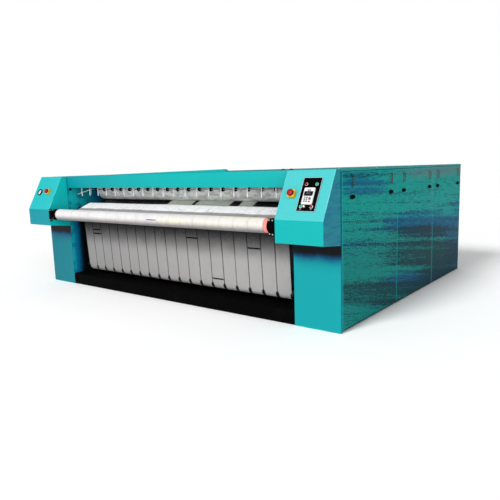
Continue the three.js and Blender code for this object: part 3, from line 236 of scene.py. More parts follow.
def turquoise_enamel():
    """Enamel of the front: paler on the slopes and inner sides as painted light, bluer to the left, darker
    on the legs and outer sides as painted shade, with a dark painted shadow under the consoles and painted
    highlights along the slopes' edges.
    """
    finish = Finish("turquoise_enamel")
    place_x, depth, height = finish.axes("XYZ")
    across = abs(place_x)
    cloud = finish.noise(9, 4)
    speck = finish.rise(finish.noise(95, 3), 0.50, 0.72)
    console = finish.math("GREATER_THAN", across, BAY + 0.001)
    # The outer sides of the consoles and front covers get painted shade: darker and bluer, in streaks.
    side = finish.math("GREATER_THAN", across, BODY - 0.0008)
    slope = finish.rise(height, 0.993, 0.999) * console * (1 - side)
    leg = finish.rise(depth, FRONT - 0.003, FRONT - 0.001) * finish.fall(height, 0.766, 0.768)
    # Painted shadow under the consoles, on the tops of the legs: blue and then near black.
    under = finish.rise(height + 0.05 * (cloud - 0.5), 0.56, 0.745) * leg
    streak = finish.noise(1.0, 3, (1, 3, 30)) + finish.uneven(0.7, 1.0, 2, (1, 60, 95))
    right = finish.rise(place_x + finish.uneven(0.5, 1.7, 3), -2.6, 0.4)
    # Painted shade: the legs are darker than the front, under the consoles' overhang.
    legs = finish.mix(right, (0.0, 0.36, 0.41), (0.015, 0.51, 0.53))
    # Painted light: the slopes are paler than the front.
    painted_light_slope = finish.mix(right, (0.06, 0.60, 0.61), (0.24, 0.64, 0.645))
    # Painted light: the inner sides of the consoles are paler.
    painted_light_inner_side = finish.math("LESS_THAN", across, BAY + 0.0008)
    # Painted highlights along the edges of the slopes.
    wear_and_highlight = finish.rise(across, BODY - 0.010, BODY - 0.004) * (1 - side)
    wear_and_highlight = finish.math("MAXIMUM", wear_and_highlight, finish.fall(across, BAY + 0.003, BAY + 0.009))
    colour = finish.coated(
        finish.mix(right, (0.0, 0.45, 0.50), (0.02, 0.575, 0.57)),
        (leg, legs),
        (slope, painted_light_slope),
        (painted_light_inner_side * finish.rise(depth, FRONT - 0.001, FRONT - 0.003), (0.04, 0.72, 0.72)),
        (side * 0.8, (0.0, 0.45, 0.51)),
        (side * finish.rise(streak, 0.38, 0.66) * 0.75, (0.0, 0.34, 0.52)),
        (slope * wear_and_highlight * finish.rise(cloud, 0.35, 0.6) * 0.6, (0.55, 0.76, 0.76)),
        (speck * 0.22, (0.0, 0.47, 0.50)),
        (finish.rise(under, 0.0, 0.6), (0.0, 0.33, 0.50)),
        (finish.rise(under, 0.3, 0.85), (0.0, 0.01, 0.04)),
    )
    return finish.surface(colour, 0.36 + 0.14 * cloud, finish.noise(300, 1), 0.00012, specular=0.12)


def frame_enamel():
    """Enamel of the side frames: the arms are black, and the walls carry painted shade, blue and then
    dark, deeper inside and in blotches.
    """
    finish = Finish("frame_enamel")
    place_x, depth, height = finish.axes("XYZ")
    cloud = finish.noise(3.2, 4, (1, 1, 0.6))
    high = finish.rise(height, 0.90, 1.02)
    far = finish.rise(depth + 0.12 * (cloud - 0.5), FRONT + 0.10, FRONT + 0.75)
    near_belts = finish.rise(depth + 0.08 * (cloud - 0.5), FRONT - 0.03, FRONT + 0.18)
    shade = high * far + (1 - high) * near_belts
    # Painted shade in blue blotches on the walls.
    shade_blotch = finish.rise(finish.noise(11, 4), 0.50, 0.60)
    colour = finish.coated(
        finish.mix(cloud, (0.02, 0.64, 0.67), (0.04, 0.71, 0.73)),
        (shade_blotch * finish.rise(depth, FRONT - 0.12, FRONT + 0.02) * 0.65, (0.0, 0.36, 0.55)),
        (finish.rise(shade, 0.0, 0.5), (0.0, 0.44, 0.62)),
        (finish.rise(shade, 0.45, 1.0), (0.01, 0.03, 0.04)),
        (finish.math("LESS_THAN", abs(place_x), BAY - 0.0001), (0.02, 0.02, 0.024)),
    )
    roughness = 0.42 + 0.2 * finish.noise(18, 3)
    return finish.surface(colour, roughness, finish.noise(240, 2), 0.00015, specular=0.15)


def seam_lines(finish, depth, height):
    """Painted highlights along the meeting edges of the doors."""
    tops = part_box("right_door_1")[1].z - 0.010
    marks = finish.fall(abs(height - tops), 0.003, 0.009)
    for number, inward in ((1, 0.006), (2, 0), (3, 0)):
        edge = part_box(f"right_door_{number}")[0].y + inward
        marks = finish.math("MAXIMUM", marks, finish.fall(abs(depth - edge), 0.006, 0.016))
    return marks


# Soft patches of a side: middle, then half size, both as (behind the front, up)
BLUE_PATCHES = (
    ((2.25, 0.93), (1.25, 0.11)),
    ((1.75, 0.46), (0.90, 0.055)),
    ((0.45, 1.26), (0.62, 0.06)),
    ((3.2, 0.80), (0.50, 0.30)),
)
DARK_PATCHES = (
    ((0.62, 0.36), (0.85, 0.11)),
    ((2.40, 0.68), (1.35, 0.12)),
    ((1.60, 0.38), (0.95, 0.07)),
    ((2.60, 0.52), (0.70, 0.12)),
    ((1.90, 0.86), (0.80, 0.05)),
)


def patches(finish, depth, level, places):
    marks = 0.0
    for (middle_y, middle_z), (long, tall) in places:
        along = (depth - (FRONT + middle_y)) * (1 / long)
        up = (level - middle_z) * (1 / tall)
        marks = finish.math("MAXIMUM", marks, finish.fall(along * along + up * up, 0.0, 2.2))
    return marks


def streaked_enamel():
    """Enamel of the doors and side sheets, painted darker than the front as painted shade, and brushed on
    in streaks that fall a little to the rear.

    It runs into blue and near black in patches, with painted shade darker towards the lower rear and a
    pale painted reflection high up towards the rear.
    """
    finish = Finish("streaked_enamel")
    top, fan = 1.427, 0.1845  # height that the streaks leave level, and how fast they spread below it
    place_x, depth, height = finish.axes("XYZ")
    level = top - finish.math("DIVIDE", top - height, 1 + fan * (depth - FRONT))
    streak = finish.node("ShaderNodeCombineXYZ", {}, {0: place_x, 1: depth, 2: level})
    broad = finish.noise(1.5, 3, (1, 0.5, 1.7), streak)
    other = finish.noise(1.9, 3, (1, 0.45, 1.9), streak)
    bands = finish.noise(1.0, 3, (1, 0.35, 24), streak)
    fine = finish.noise(1.0, 3, (1, 9, 120), streak)
    ragged = 0.55 * (fine - 0.5) + finish.uneven(0.75, 1.0, 2, (1, 42, 95), streak)
    blues = patches(finish, depth, level, BLUE_PATCHES)
    darks = patches(finish, depth, level, DARK_PATCHES)
    # Painted shade: darker towards the lower rear.
    rear = finish.rise(depth, FRONT - 0.2, REAR) * finish.fall(level, 0.7, 1.15)
    blue = 0.15 * broad + 0.75 * bands + 0.26 * blues + 0.06 * rear + 0.5 * ragged
    dark = 0.2 * other + 0.75 * bands + 0.27 * darks + 0.14 * rear + 0.9 * ragged
    # Painted reflection: pale, high up towards the rear.
    painted_reflection = finish.rise(height + 0.10 * (broad - 0.5) + 0.1 * ragged, 1.22, 1.36)
    painted_reflection = painted_reflection * finish.rise(depth, FRONT + 0.8, FRONT + 2.1)
    colour = finish.coated(
        # Base colour darker than the front's enamel, as painted shade, and darker towards the bottom.
        finish.mix(finish.rise(level, 0.55, 1.15), (0.0, 0.46, 0.44), (0.0, 0.54, 0.51)),
        (finish.rise(ragged, -0.05, 0.2) * 0.6, (0.0, 0.34, 0.37)),
        (finish.rise(blue, 0.48, 0.68) * 0.8, (0.0, 0.25, 0.44)),
        (finish.rise(dark, 0.46, 0.80) * 0.9, (0.01, 0.17, 0.21)),
        (painted_reflection * 0.7, (0.34, 0.41, 0.43)),
        # Painted highlights along the doors' edges.
        (seam_lines(finish, depth, height) * 0.5, (0.08, 0.56, 0.57)),
    )
    return finish.surface(colour, 0.45 + 0.2 * fine, finish.noise(260, 1), 0.0001, specular=0.06)


def roof_enamel():
    finish = Finish("roof_enamel")
    dust = finish.rise(finish.noise(2.3, 5), 0.42, 0.75)
    paint = finish.mix(finish.noise(1.1, 2), (0.03, 0.48, 0.48), (0.05, 0.54, 0.53))
    colour = finish.mix(dust * 0.18, paint, (0.36, 0.54, 0.53))
    return finish.surface(colour, 0.45 + 0.3 * dust, finish.noise(260, 1), 0.0001, specular=0.15)


def black_enamel():
    finish = Finish("black_enamel")
    dust = finish.rise(finish.noise(5, 5), 0.5, 0.8)
    colour = finish.mix(dust * 0.5, (0.010, 0.010, 0.012), (0.05, 0.05, 0.053))
    return finish.surface(colour, 0.75 + 0.2 * dust, finish.noise(220, 2), 0.0002, specular=0.02)


def mirror_steel():
    """Polished shell of the heated cylinders; the first is painted dark as a painted reflection of the
    dark inside, with bands of pale painted reflection.
    """
    finish = Finish("mirror_steel")
    place_x, depth = finish.axes("XY")
    rings = finish.noise(1, 2, (900, 1, 1))
    stain = finish.rise(finish.noise(3, 5, (1, 2, 2)), 0.45, 0.75)
    across = place_x + finish.uneven(0.02, 30, 2)
    # The first cylinder is painted dark, as a painted reflection of the dark inside of the machine.
    first = finish.math("LESS_THAN", depth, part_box("ironing_cylinder_2")[0].y - 0.05)
    # Painted reflection: pale, duller bands across the first cylinder.
    reflection_bands = 0.0
    for start, end in ((-0.36, 0.050), (0.095, 0.615), (0.735, 0.935)):
        reflection_bands = finish.rise(across, start, start + 0.01) * finish.fall(across, end - 0.01, end) + reflection_bands
    reflection_bands = reflection_bands * first
    dark = finish.coated(
        finish.mix(stain, (0.10, 0.10, 0.105), (0.06, 0.06, 0.06)),
        (finish.fall(across, -1.41, -1.39) * 0.6, (0.34, 0.34, 0.35)),
        (reflection_bands, (0.86, 0.89, 0.84)),
    )
    bright = finish.mix(stain, (0.62, 0.63, 0.64), (0.50, 0.50, 0.50))
    colour = finish.mix(first, bright, dark)
    roughness = 0.22 + 0.08 * rings + 0.5 * reflection_bands
    return finish.surface(colour, roughness, rings, 0.00002, metallic=1.0 - 0.4 * first - 0.6 * reflection_bands)


def turned_steel():
    finish = Finish("turned_steel")
    rings = finish.noise(1, 2, (1400, 3, 3))
    colour = finish.mix(rings, (0.66, 0.67, 0.68), (0.78, 0.79, 0.80))
    return finish.surface(colour, 0.24 + 0.14 * rings, rings, 0.00003, metallic=1.0)


def gear_iron():
    """Cut teeth and cast webs, dark with oil."""
    finish = Finish("gear_iron")
    oil = finish.rise(finish.noise(6, 4), 0.4, 0.7)
    colour = finish.mix(oil, (0.42, 0.43, 0.44), (0.20, 0.18, 0.16))
    return finish.surface(colour, 0.5 - 0.22 * oil, finish.noise(130, 3), 0.0003, metallic=0.9)


def woven_cloth():
    """Plain weave of the belts; the map runs across and along each belt in metres."""
    finish = Finish("belt_cloth")
    across, along = finish.axes("XY", finish.node("ShaderNodeUVMap", {"uv_map": "weave"}, {}))
    place_x, depth, height = finish.axes("XYZ")
    threads = 3100
    weave = 0.5 + 0.5 * finish.math("SINE", across * threads) * finish.math("SINE", along * threads)
    behind = finish.rise(depth, FRONT + 0.060, FRONT + 0.080)
    # Painted shade: the hanging run behind the front roller is darker, and darker still towards the left.
    hanging = behind * finish.fall(height, 0.86, 0.90)
    left = finish.fall(place_x, -1.6, 1.2)
    # Painted light: the cloth on the table is paler.
    table = finish.rise(depth, FRONT - 0.01, FRONT + 0.01) * finish.rise(height, 0.95, 0.97)
    # Painted shade where the table dips behind the front roller.
    valley_shade = table * finish.fall(height + finish.uneven(0.014, 6, 3), 0.991, 0.999)
    # Dark joints between the belts, darker still where the painted shade lies.
    seam = abs(finish.math("FRACT", across * (1 / BELT_PITCH) + 20.5) - 0.5)
    seam = finish.rise(seam, 0.445, 0.475)
    # Painted shade over the hanging run, darker upwards.
    hanging_shade = finish.rise(height + finish.uneven(0.10, 7, 4), 0.50, 0.80) * hanging
    speckled = height + finish.uneven(0.05, 20, 4) + finish.uneven(0.16, 120, 2)
    # Painted shadow at the top of the hanging run, under the front roller.
    roller_shadow = finish.rise(speckled, 0.66, 0.84) * hanging
    # Painted shade on the underside of the front roller.
    underside_shade = finish.fall(height + finish.uneven(0.02, 30, 2), 0.878, 0.945) * (1 - behind)
    grime = finish.rise(finish.noise(24, 4, (1, 1, 0.4)), 0.52, 0.78)
    # Painted shade in creases of the cloth on the table.
    crease_shade = finish.fall(abs(finish.noise(3.5, 2, (1.4, 2.5, 2.5)) - 0.5), 0.002, 0.010) * table
    cream = finish.rise(place_x + 0.4 * finish.noise(1.1, 2, (1, 3, 3)), 0.10, 0.75) * (1 - behind)
    cream = cream * finish.rise(finish.noise(2.0, 3, (0.6, 9, 9)), 0.40, 0.58)
    colour = finish.coated(
        finish.mix(finish.noise(3, 4), (0.80, 0.79, 0.79), (0.71, 0.70, 0.705)),
        (table * 0.8, (0.92, 0.915, 0.92)),
        (cream * 0.4, (0.84, 0.81, 0.64)),
        (weave * 0.10, (0.55, 0.55, 0.55)),
        (grime * 0.22, (0.46, 0.44, 0.45)),
        (crease_shade * 0.5, (0.45, 0.44, 0.46)),
        (valley_shade * 0.75, (0.34, 0.33, 0.35)),
        (hanging * 0.75, (0.47, 0.465, 0.46)),
        (left * hanging * 0.4, (0.33, 0.33, 0.33)),
        (hanging_shade * 0.75, (0.16, 0.16, 0.165)),
        (roller_shadow * 0.85, (0.04, 0.04, 0.04)),
        (underside_shade * 0.7, (0.32, 0.31, 0.31)),
        (seam * (0.12 + 0.25 * hanging + 0.4 * hanging_shade), (0.10, 0.10, 0.10)),
    )
    return finish.surface(colour, 0.9, weave, 0.0004, specular=0.1, sheen=0.05)


def press_clothing():
    """Needled felt of the press roller, pressed flat in patches."""
    finish = Finish("press_clothing")
    flat = finish.noise(11, 5, (1, 2, 2))
    fibre = finish.noise(420, 3, (1, 0.4, 0.4))
    felt = finish.mix(finish.rise(flat, 0.42, 0.62), (0.99, 0.99, 0.985), (0.82, 0.81, 0.81))
    colour = finish.mix(finish.rise(fibre, 0.5, 0.8) * 0.15, felt, (0.60, 0.59, 0.58))
    return finish.surface(colour, 0.95, fibre + 0.6 * flat, 0.0015, sheen=0.2)


def ring_rubber():
    finish = Finish("ring_rubber")
    wear_and_highlight = finish.noise(40, 4)
    colour = finish.mix(wear_and_highlight, (0.93, 0.52, 0.48), (0.82, 0.44, 0.41))
    return finish.surface(colour, 0.55 + 0.25 * wear_and_highlight, finish.noise(300, 2), 0.0003)


def moulded_plastic(name, hue, gloss):
    """Moulded plastic with a fine spark-eroded grain and slight fading."""
    finish = Finish(name)
    paler = tuple(0.88 * c + 0.07 for c in hue)
    colour = finish.mix(finish.noise(9, 3) * 0.6, hue, paler)
    roughness = gloss + 0.12 * finish.noise(70, 2)
    return finish.surface(colour, roughness, finish.noise(900, 1), 0.00008, specular=0.2)


def plated_steel(name, light, dark, roughness):
    """Plated or browned small steelwork, dulled by handling."""
    finish = Finish(name)
    wear_and_highlight = finish.noise(60, 4)
    colour = finish.mix(wear_and_highlight, light, dark)
    return finish.surface(colour, roughness + 0.2 * wear_and_highlight, finish.noise(400, 2), 0.0001, metallic=1.0)


def machine_grey():
    finish = Finish("machine_grey")
    dust = finish.rise(finish.noise(8, 5), 0.45, 0.75)
    colour = finish.mix(dust * 0.5, (0.34, 0.37, 0.39), (0.50, 0.51, 0.50))
    return finish.surface(colour, 0.45 + 0.3 * dust, finish.noise(150, 2), 0.0003)


def pale_floor():
    finish = Finish("pale_floor")
    colour = finish.mix(finish.noise(0.7, 2), (0.985, 0.985, 0.985), (0.998, 0.998, 0.998))
    return finish.surface(colour, 0.9)


ENAMEL = turquoise_enamel()
FRAME_ENAMEL = frame_enamel()
STREAKED = streaked_enamel()
ROOF_ENAMEL = roof_enamel()
BLACK = black_enamel()
MIRROR = mirror_steel()
STEEL = turned_steel()
GEAR_IRON = gear_iron()
BELT_CLOTH = woven_cloth()
CLOTHING = press_clothing()
RUBBER = ring_rubber()
WHITE = moulded_plastic("white_plastic", (0.79, 0.79, 0.78), 0.36)
PRINT = moulded_plastic("pale_print", (0.62, 0.68, 0.69), 0.5)
YELLOW = moulded_plastic("yellow_plastic", (0.80, 0.64, 0.08), 0.34)
RED = moulded_plastic("red_plastic", (0.52, 0.01, 0.04), 0.38)
GREEN = moulded_plastic("green_plastic", (0.08, 0.62, 0.46), 0.26)
KEY_GREY = moulded_plastic("key_grey", (0.36, 0.37, 0.40), 0.4)
DARK_GLASS = moulded_plastic("dark_glass", (0.03, 0.035, 0.04), 0.08)
ZINC = plated_steel("zinc", (0.80, 0.81, 0.82), (0.62, 0.63, 0.64), 0.3)
BROWNED = plated_steel("browned_steel", (0.40, 0.35, 0.32), (0.20, 0.16, 0.15), 0.45)
BLUED = plated_steel("blued_steel", (0.20, 0.21, 0.23), (0.12, 0.12, 0.13), 0.35)
GREY = machine_grey()

# ---------------------------------------------------------------- shapes


def near(value, *targets):
    return any(abs(value - target) < 1e-4 for target in targets)


def outward(shape):
    bmesh.ops.recalc_face_normals(shape, faces=shape.faces)
    return shape


def laid(shape, matrix):
    bmesh.ops.transform(shape, matrix=matrix, verts=shape.verts)
    return shape


def thickened(shape, thickness):
    """Gives an open sheet its wall."""
    bmesh.ops.solidify(outward(shape), geom=shape.faces[:], thickness=thickness)
    return shape


def bevel(shape, edges, width, segments=2):
    bmesh.ops.bevel(
        shape, geom=list(edges), offset=width, offset_type="OFFSET", segments=segments,
        profile=0.5, affect="EDGES", clamp_overlap=True, material=-1,
    )
    return shape


def block(low, high, edge=0.0, segments=2):
    """A rectangular block with its edges rounded."""
    shape = bmesh.new()
    bmesh.ops.create_cube(shape, size=1)
    low, high = Vector(low), Vector(high)
    bmesh.ops.scale(shape, vec=high - low, verts=shape.verts)
    bmesh.ops.translate(shape, vec=(low + high) / 2, verts=shape.verts)
    return bevel(shape, shape.edges, edge, segments) if edge else shape


def chain(shape, points, closed=False):
    """Vertices at points, and the edges from each to the next."""
    line = [shape.verts.new(point) for point in points]
    following = line[1:] + line[:1] if closed else line[1:]
    return [shape.edges.new(pair) for pair in zip(line, following)]


def strip(points, across, thickness):
    """A bent strip of sheet: a line of points swept across."""
    shape = bmesh.new()
    grown = bmesh.ops.extrude_edge_only(shape, edges=chain(shape, points))
    far = [item for item in grown["geom"] if isinstance(item, bmesh.types.BMVert)]
    bmesh.ops.translate(shape, vec=across, verts=far)
    return outward(thickened(shape, thickness))


def spin(shape, centre, axis, angle, steps):
    bmesh.ops.spin(
        shape, geom=shape.verts[:] + shape.edges[:], cent=centre, axis=axis, dvec=(0, 0, 0),
        angle=angle, steps=steps, use_merge=angle == 2 * pi, use_duplicate=False,
    )


def turned(profile, centre, steps=48, axis="X"):
    """A closed profile of (radius, distance along the axis) points, spun about the axis."""
    across, upright = Vector((1, 0, 0)), Vector((0, 0, 1))
    side, along = (upright, across) if axis == "X" else (across, upright)
    shape = bmesh.new()
    chain(shape, [Vector(centre) + side * radius + along * place for radius, place in profile])
    spin(shape, centre, along, 2 * pi, steps)
    bmesh.ops.remove_doubles(shape, verts=shape.verts, dist=1e-6)
    return outward(shape)


def both_ways(half):
    """A profile with two like ends, from the points of its right half, the middle first."""
    return [(radius, -place) for radius, place in reversed(half)] + half


def toward(sign, profile, start=0.0):
    """A profile laid off to the right, or to the left with -1."""
    return [(radius, sign * (start + place)) for radius, place in profile]


def disc_profile(radius, start, end, edge):
    """A solid disc's profile with chamfered rims."""
    return [
        (0, start), (radius - edge, start), (radius, start + edge),
        (radius, end - edge), (radius - edge, end), (0, end),
    ]


def ring_profile(inner, outer, start, end, edge):
    """A bored ring's profile with chamfered outer rims; it closes on itself."""
    rim = disc_profile(outer, start, end, edge)[1:-1]
    return [(inner, start), *rim, (inner, end), (inner, start)]


def rod(start, reach, radius, steps=12):
    """A round bar from a point."""
    start, reach = Vector(start), Vector(reach)
    shape = bmesh.new()
    bmesh.ops.create_cone(
        shape, cap_ends=True, segments=steps, radius1=radius, radius2=radius, depth=reach.length
    )
    turn = Vector((0, 0, 1)).rotation_difference(reach).to_matrix().to_4x4()
    return laid(shape, Matrix.Translation(start + reach / 2) @ turn)


def bolt_ring(centre, circle, count, start, length, radius, sides):
    """Bolt heads in a circle about a line across the machine, their length to the right."""
    bolts = []
    for step in range(count):
        angle = start + step * 2 * pi / count
        spot = Vector(centre) + Vector((0, circle * cos(angle), circle * sin(angle)))
        bolts.append(rod(spot, (length, 0, 0), radius, sides))
    return bolts


def plate(outline, depth, edge):
    """A flat outline of (x, y) points raised along Z, its upper rim rounded."""
    shape = bmesh.new()
    face = shape.faces.new([shape.verts.new((x, y, 0)) for x, y in outline])
    grown = bmesh.ops.extrude_face_region(shape, geom=[face])
    lifted = [item for item in grown["geom"] if isinstance(item, bmesh.types.BMVert)]
    bmesh.ops.translate(shape, vec=(0, 0, depth), verts=lifted)
    outward(shape)
    rim = [e for e in shape.edges if all(abs(v.co.z - depth) < 1e-6 for v in e.verts)]
    return bevel(shape, rim, edge)


def rounded_rectangle(x, y, width, height, corner, steps=4):
    points = []
    for quarter in range(4):
        side = (width / 2 - corner) * (1 if quarter in (0, 3) else -1)
        level = (height / 2 - corner) * (1 if quarter < 2 else -1)
        for step in range(steps + 1):
            angle = (quarter + step / steps) * pi / 2
            points.append((x + side + corner * cos(angle), y + level + corner * sin(angle)))
    return points


def moved(shape, x=0, y=0, z=0):
    bmesh.ops.translate(shape, vec=(x, y, z), verts=shape.verts)
    return shape


def facing(shape, sign):
    """A shape made for the right side, or its mirror image for the left with -1."""
    if sign < 0:
        bmesh.ops.scale(shape, vec=(-1, 1, 1), verts=shape.verts)
        outward(shape)
    return shape


def on_slope(shape, level=0.0):
    """Lays a flat shape on the consoles' slope, this high above its sheet."""
    return laid(moved(shape, 0, 0, level), SLOPE)


def slope_turned(profile, x, up, steps, level=0.0):
    """A turned shape that stands on the slope."""
    return on_slope(turned(profile, (x, up, 0), steps, "Z"), level)


def slope_plate(x, up, width, height, corner, depth, edge, level):
    """A rounded plate that lies on the speed unit, its foot so far above the unit's face."""
    outline = rounded_rectangle(PANEL_X + x, UNIT_UP + up, width, height, corner)
    return on_slope(plate(outline, depth, edge), UNIT_FACE + level)


def slope_text(text, height, x, up, level):
    """Raised letters on the slope, centred on a point."""
    curve = bpy.data.curves.new("lettering", "FONT")
    curve.body = text
    curve.size = height
    curve.extrude = 0.0002
    curve.align_x = "CENTER"
    curve.align_y = "CENTER"
    carrier = bpy.data.objects.new("lettering", curve)
    mesh = bpy.data.meshes.new_from_object(carrier)
    bpy.data.objects.remove(carrier)
    shape = bmesh.new()
    shape.from_mesh(mesh)
    bpy.data.meshes.remove(mesh)
    return on_slope(moved(shape, x, up), level)


def placed(name, data):
    """An object of some mesh, lamp or camera data."""
    made = bpy.data.objects.new(name, data)
    bpy.context.scene.collection.objects.link(made)
    return made


def joined(*shapes):
    whole = bmesh.new()
    for shape in shapes:
        carrier = bpy.data.meshes.new("carrier")
        shape.to_mesh(carrier)
        shape.free()
        whole.from_mesh(carrier)
        bpy.data.meshes.remove(carrier)
    return whole


def merged_copy(node):
    """A copy of a CAD node's triangles, merged at their corners."""
    shape = bmesh.new()
    shape.from_mesh(frame["nodes"][node].data)
    bmesh.ops.remove_doubles(shape, verts=shape.verts, dist=2e-5)
    return shape


def rounded(shape, edge, chosen, segments):
    """Joins a copy's triangles into faces, and rounds its sharp edges or the chosen ones of them."""
    bmesh.ops.dissolve_limit(shape, angle_limit=radians(1), verts=shape.verts, edges=shape.edges)
    edges = [e for e in shape.edges if e.calc_face_angle(0) > radians(20)]
    if chosen:
        edges = [e for e in edges if all(chosen(v.co) for v in e.verts)]
    return bevel(shape, edges, edge, segments) if edge else shape


def from_solid(node, edge=0.0, chosen=None, segments=2):
    return rounded(merged_copy(node), edge, chosen, segments)


def piece(name, parts, slot, *stands_for, body="machine", crease=32):
    """Makes shapes, listed by finish, one object that rides on a body and stands for CAD nodes."""
    for index, shapes in enumerate(parts.values()):
        for face in [face for shape in shapes for face in shape.faces]:
            face.material_index = index
    whole = joined(*[shape for shapes in parts.values() for shape in shapes])
    mesh = bpy.data.meshes.new(name)
    whole.normal_update()
    whole.to_mesh(mesh)
    whole.free()
    mesh.shade_smooth()
    mesh.set_sharp_from_angle(angle=radians(crease))
    for finish in parts:
        mesh.materials.append(finish)
    made = placed(name, mesh)
    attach(made, body)
    if stands_for:
        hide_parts(*stands_for)
    return made


# ---------------------------------------------------------------- sheet bodywork


def repaint(node, finish):
    """Gives a CAD node that stays in sight its own material."""
    for place in frame["nodes"][node].material_slots:
        place.link = "OBJECT"
        place.material = finish


def folded(node, finish, slot, edge, chosen):
    """A sheet cover taken from its solid, with its outer folds rounded."""
    return piece(f"{node}_sheet", {finish: [from_solid(node, edge, chosen, 3)]}, slot, node, crease=14)


def bodywork():
    at_front = lambda co: near(co.y, FRONT)
    for side, outer in (("left", -BODY), ("right", BODY)):
        repaint(f"{side}_side_frame", FRAME_ENAMEL)
        low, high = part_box(f"{side}_console")
        at_sides = lambda co: near(co.x, low.x, high.x)
        at_corner = lambda co: near(co.x, outer) and near(co.y, FRONT)
        folded(f"{side}_console", ENAMEL, "turquoise_paint", 0.004, at_sides)
        folded(f"{side}_front_cover", ENAMEL, "turquoise_paint", 0.0028, at_corner)
    folded("front_lintel", ENAMEL, "turquoise_paint", 0.0028, at_front)
    folded("kick_panel", BLACK, "black_paint", 0.0028, at_front)
    folded("roof_panel", ROOF_ENAMEL, "dark_turquoise_paint", 0.0025, lambda co: near(co.z, ROOF))
    lint_tray()
    hood()
    folded("rear_panel", STREAKED, "dark_turquoise_paint", 0.0028, lambda co: near(co.y, REAR))


def lint_tray():
    """Shallow tray between the walls that catches lint under the belts, behind the kick panel."""
    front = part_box("kick_panel")[1].y + CLEARANCE
    edge = BAY - 2 * CLEARANCE
    base, depth, rim, sheet = 0.050, 0.620, 0.025, 0.002
    shape = block((-edge, front, base), (edge, front + depth, base + rim))
    top = [face for face in shape.faces if face.normal.z > 0.9]
    for width in (sheet, 0.0002):
        bmesh.ops.inset_region(shape, faces=top, thickness=width, use_even_offset=True)
    bmesh.ops.translate(shape, verts=top[0].verts[:], vec=(0, 0, sheet - rim))
    return piece("lint_tray", {BLACK: [shape]}, "black_paint", crease=20)


def hood():
    """Low hood behind the lintel; its top falls towards the left."""
    shape = from_solid("top_hood", 0.003, lambda co: co.z > ROOF + 0.02)
    low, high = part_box("top_hood")
    lost = 0.8  # share of the height that is lost at the left end
    for vert in shape.verts:
        share = (high.x - vert.co.x) / (high.x - low.x)
        vert.co.z -= (vert.co.z - low.z) * lost * share
    return piece("top_hood_sheet", {ENAMEL: [shape]}, "turquoise_paint", "top_hood", crease=14)


def screws(name, places, turn):
    """Low domed screw heads at points, all facing the same way."""
    radius, height = 0.006, 0.003
    profile = [(0, 0), (radius, 0), (radius, height * 0.4), (radius * 0.75, height), (0, height)]
    heads = []
    for point in places:
        heads.append(laid(turned(profile, (0, 0, 0), 10, "Z"), Matrix.Translation(point) @ turn))
    return piece(name, {ZINC: heads}, "steel", crease=40)


def cover_screws():
    seat = 0.0003
    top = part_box("rear_panel")[1].z - 0.03
    edges = [(x, z) for x in (-BODY + 0.03, BODY - 0.03) for z in (0.05, 0.35, 0.70, 1.05, top)]
    edges += [(-1.8 + 0.45 * step, z) for step in range(9) for z in (0.05, top)]
    roof = [(x, y) for x in (-2.15, 2.15) for y in (0.05, 0.8, 1.6, 2.4, 3.2)]
    roof += [(-1.6 + 0.4 * step, 3.22) for step in range(9)]
    screws("rear_screws", [(x, REAR - seat, z) for x, z in edges], Matrix.Rotation(-pi / 2, 4, "X"))
    screws("roof_screws", [(x, FRONT + y, ROOF - seat) for x, y in roof], Matrix.Identity(4))


def lifting_eyes():
    """Two low lugs at the front edge of the roof, over the right end of the feed opening."""
    lugs = []
    eye = ring_profile(0.003, 0.0065, -0.014, 0.014, 0.001)
    foot = Vector((0.026, 0.010, 0.0021))
    for x in (1.615, 1.700):
        base = Vector((x, FRONT + 0.024, ROOF + 0.0019))
        lugs.append(block(base - foot, base + foot, 0.0015))
        lugs.append(turned(eye, base + Vector((0, 0, 0.0056)), 16))
    return piece("lifting_lugs", {BROWNED: lugs}, "dark_steel", crease=40)


# ---------------------------------------------------------------- doors


def door_sheet(sign, node):
    """A door's tray from its solid, without the plain bows, its outer rim rounded."""
    low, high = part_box(node)
    shape = merged_copy(node)
    bows = [v for v in shape.verts if abs(v.co.x) > DOOR_FACE + 0.0005]
    bmesh.ops.delete(shape, geom=bows, context="VERTS")
    bmesh.ops.holes_fill(shape, edges=[e for e in shape.edges if e.is_boundary], sides=0)

    def on_rim(co):
        return near(co.x, sign * DOOR_FACE) and (near(co.y, low.y, high.y) or near(co.z, low.z, high.z))

    parts = {STREAKED: [rounded(shape, 0.0045, on_rim, 3)]}
    return piece(f"{node}_sheet", parts, "dark_turquoise_paint", node, body=node, crease=14)


def bow_handle(sign, y):
    """An upright strap bent into a bow, with a foot plate at each end."""
    bottom, top, width, strap = 1.243, 1.340, 0.018, 0.004
    bends = [(0, 0), (0.011, 0.002), (0.0175, 0.007), (0.0195, 0.016)]
    line = [(out, bottom + up) for out, up in bends] + [(out, top - up) for out, up in bends[::-1]]
    points = [(sign * (DOOR_FACE + out), y - width / 2, z) for out, z in line]
    shapes = [strip(points, (0, width, 0), sign * strap / 2)]
    foot = Vector((0.0015, 0.010, 0.004))
    for z in (bottom, top):
        spot = Vector((sign * DOOR_FACE, y, z))
        shapes.append(block(spot - foot, spot + foot, 0.0012))
    return joined(*shapes)


def door_handles(sign, node, latches):
    bows = [bow_handle(sign, axis_of(latch_node, "turn")[0]) for latch_node in latches]
    return piece(f"{node}_handles", {BROWNED: bows}, "dark_steel", body=node, crease=40)


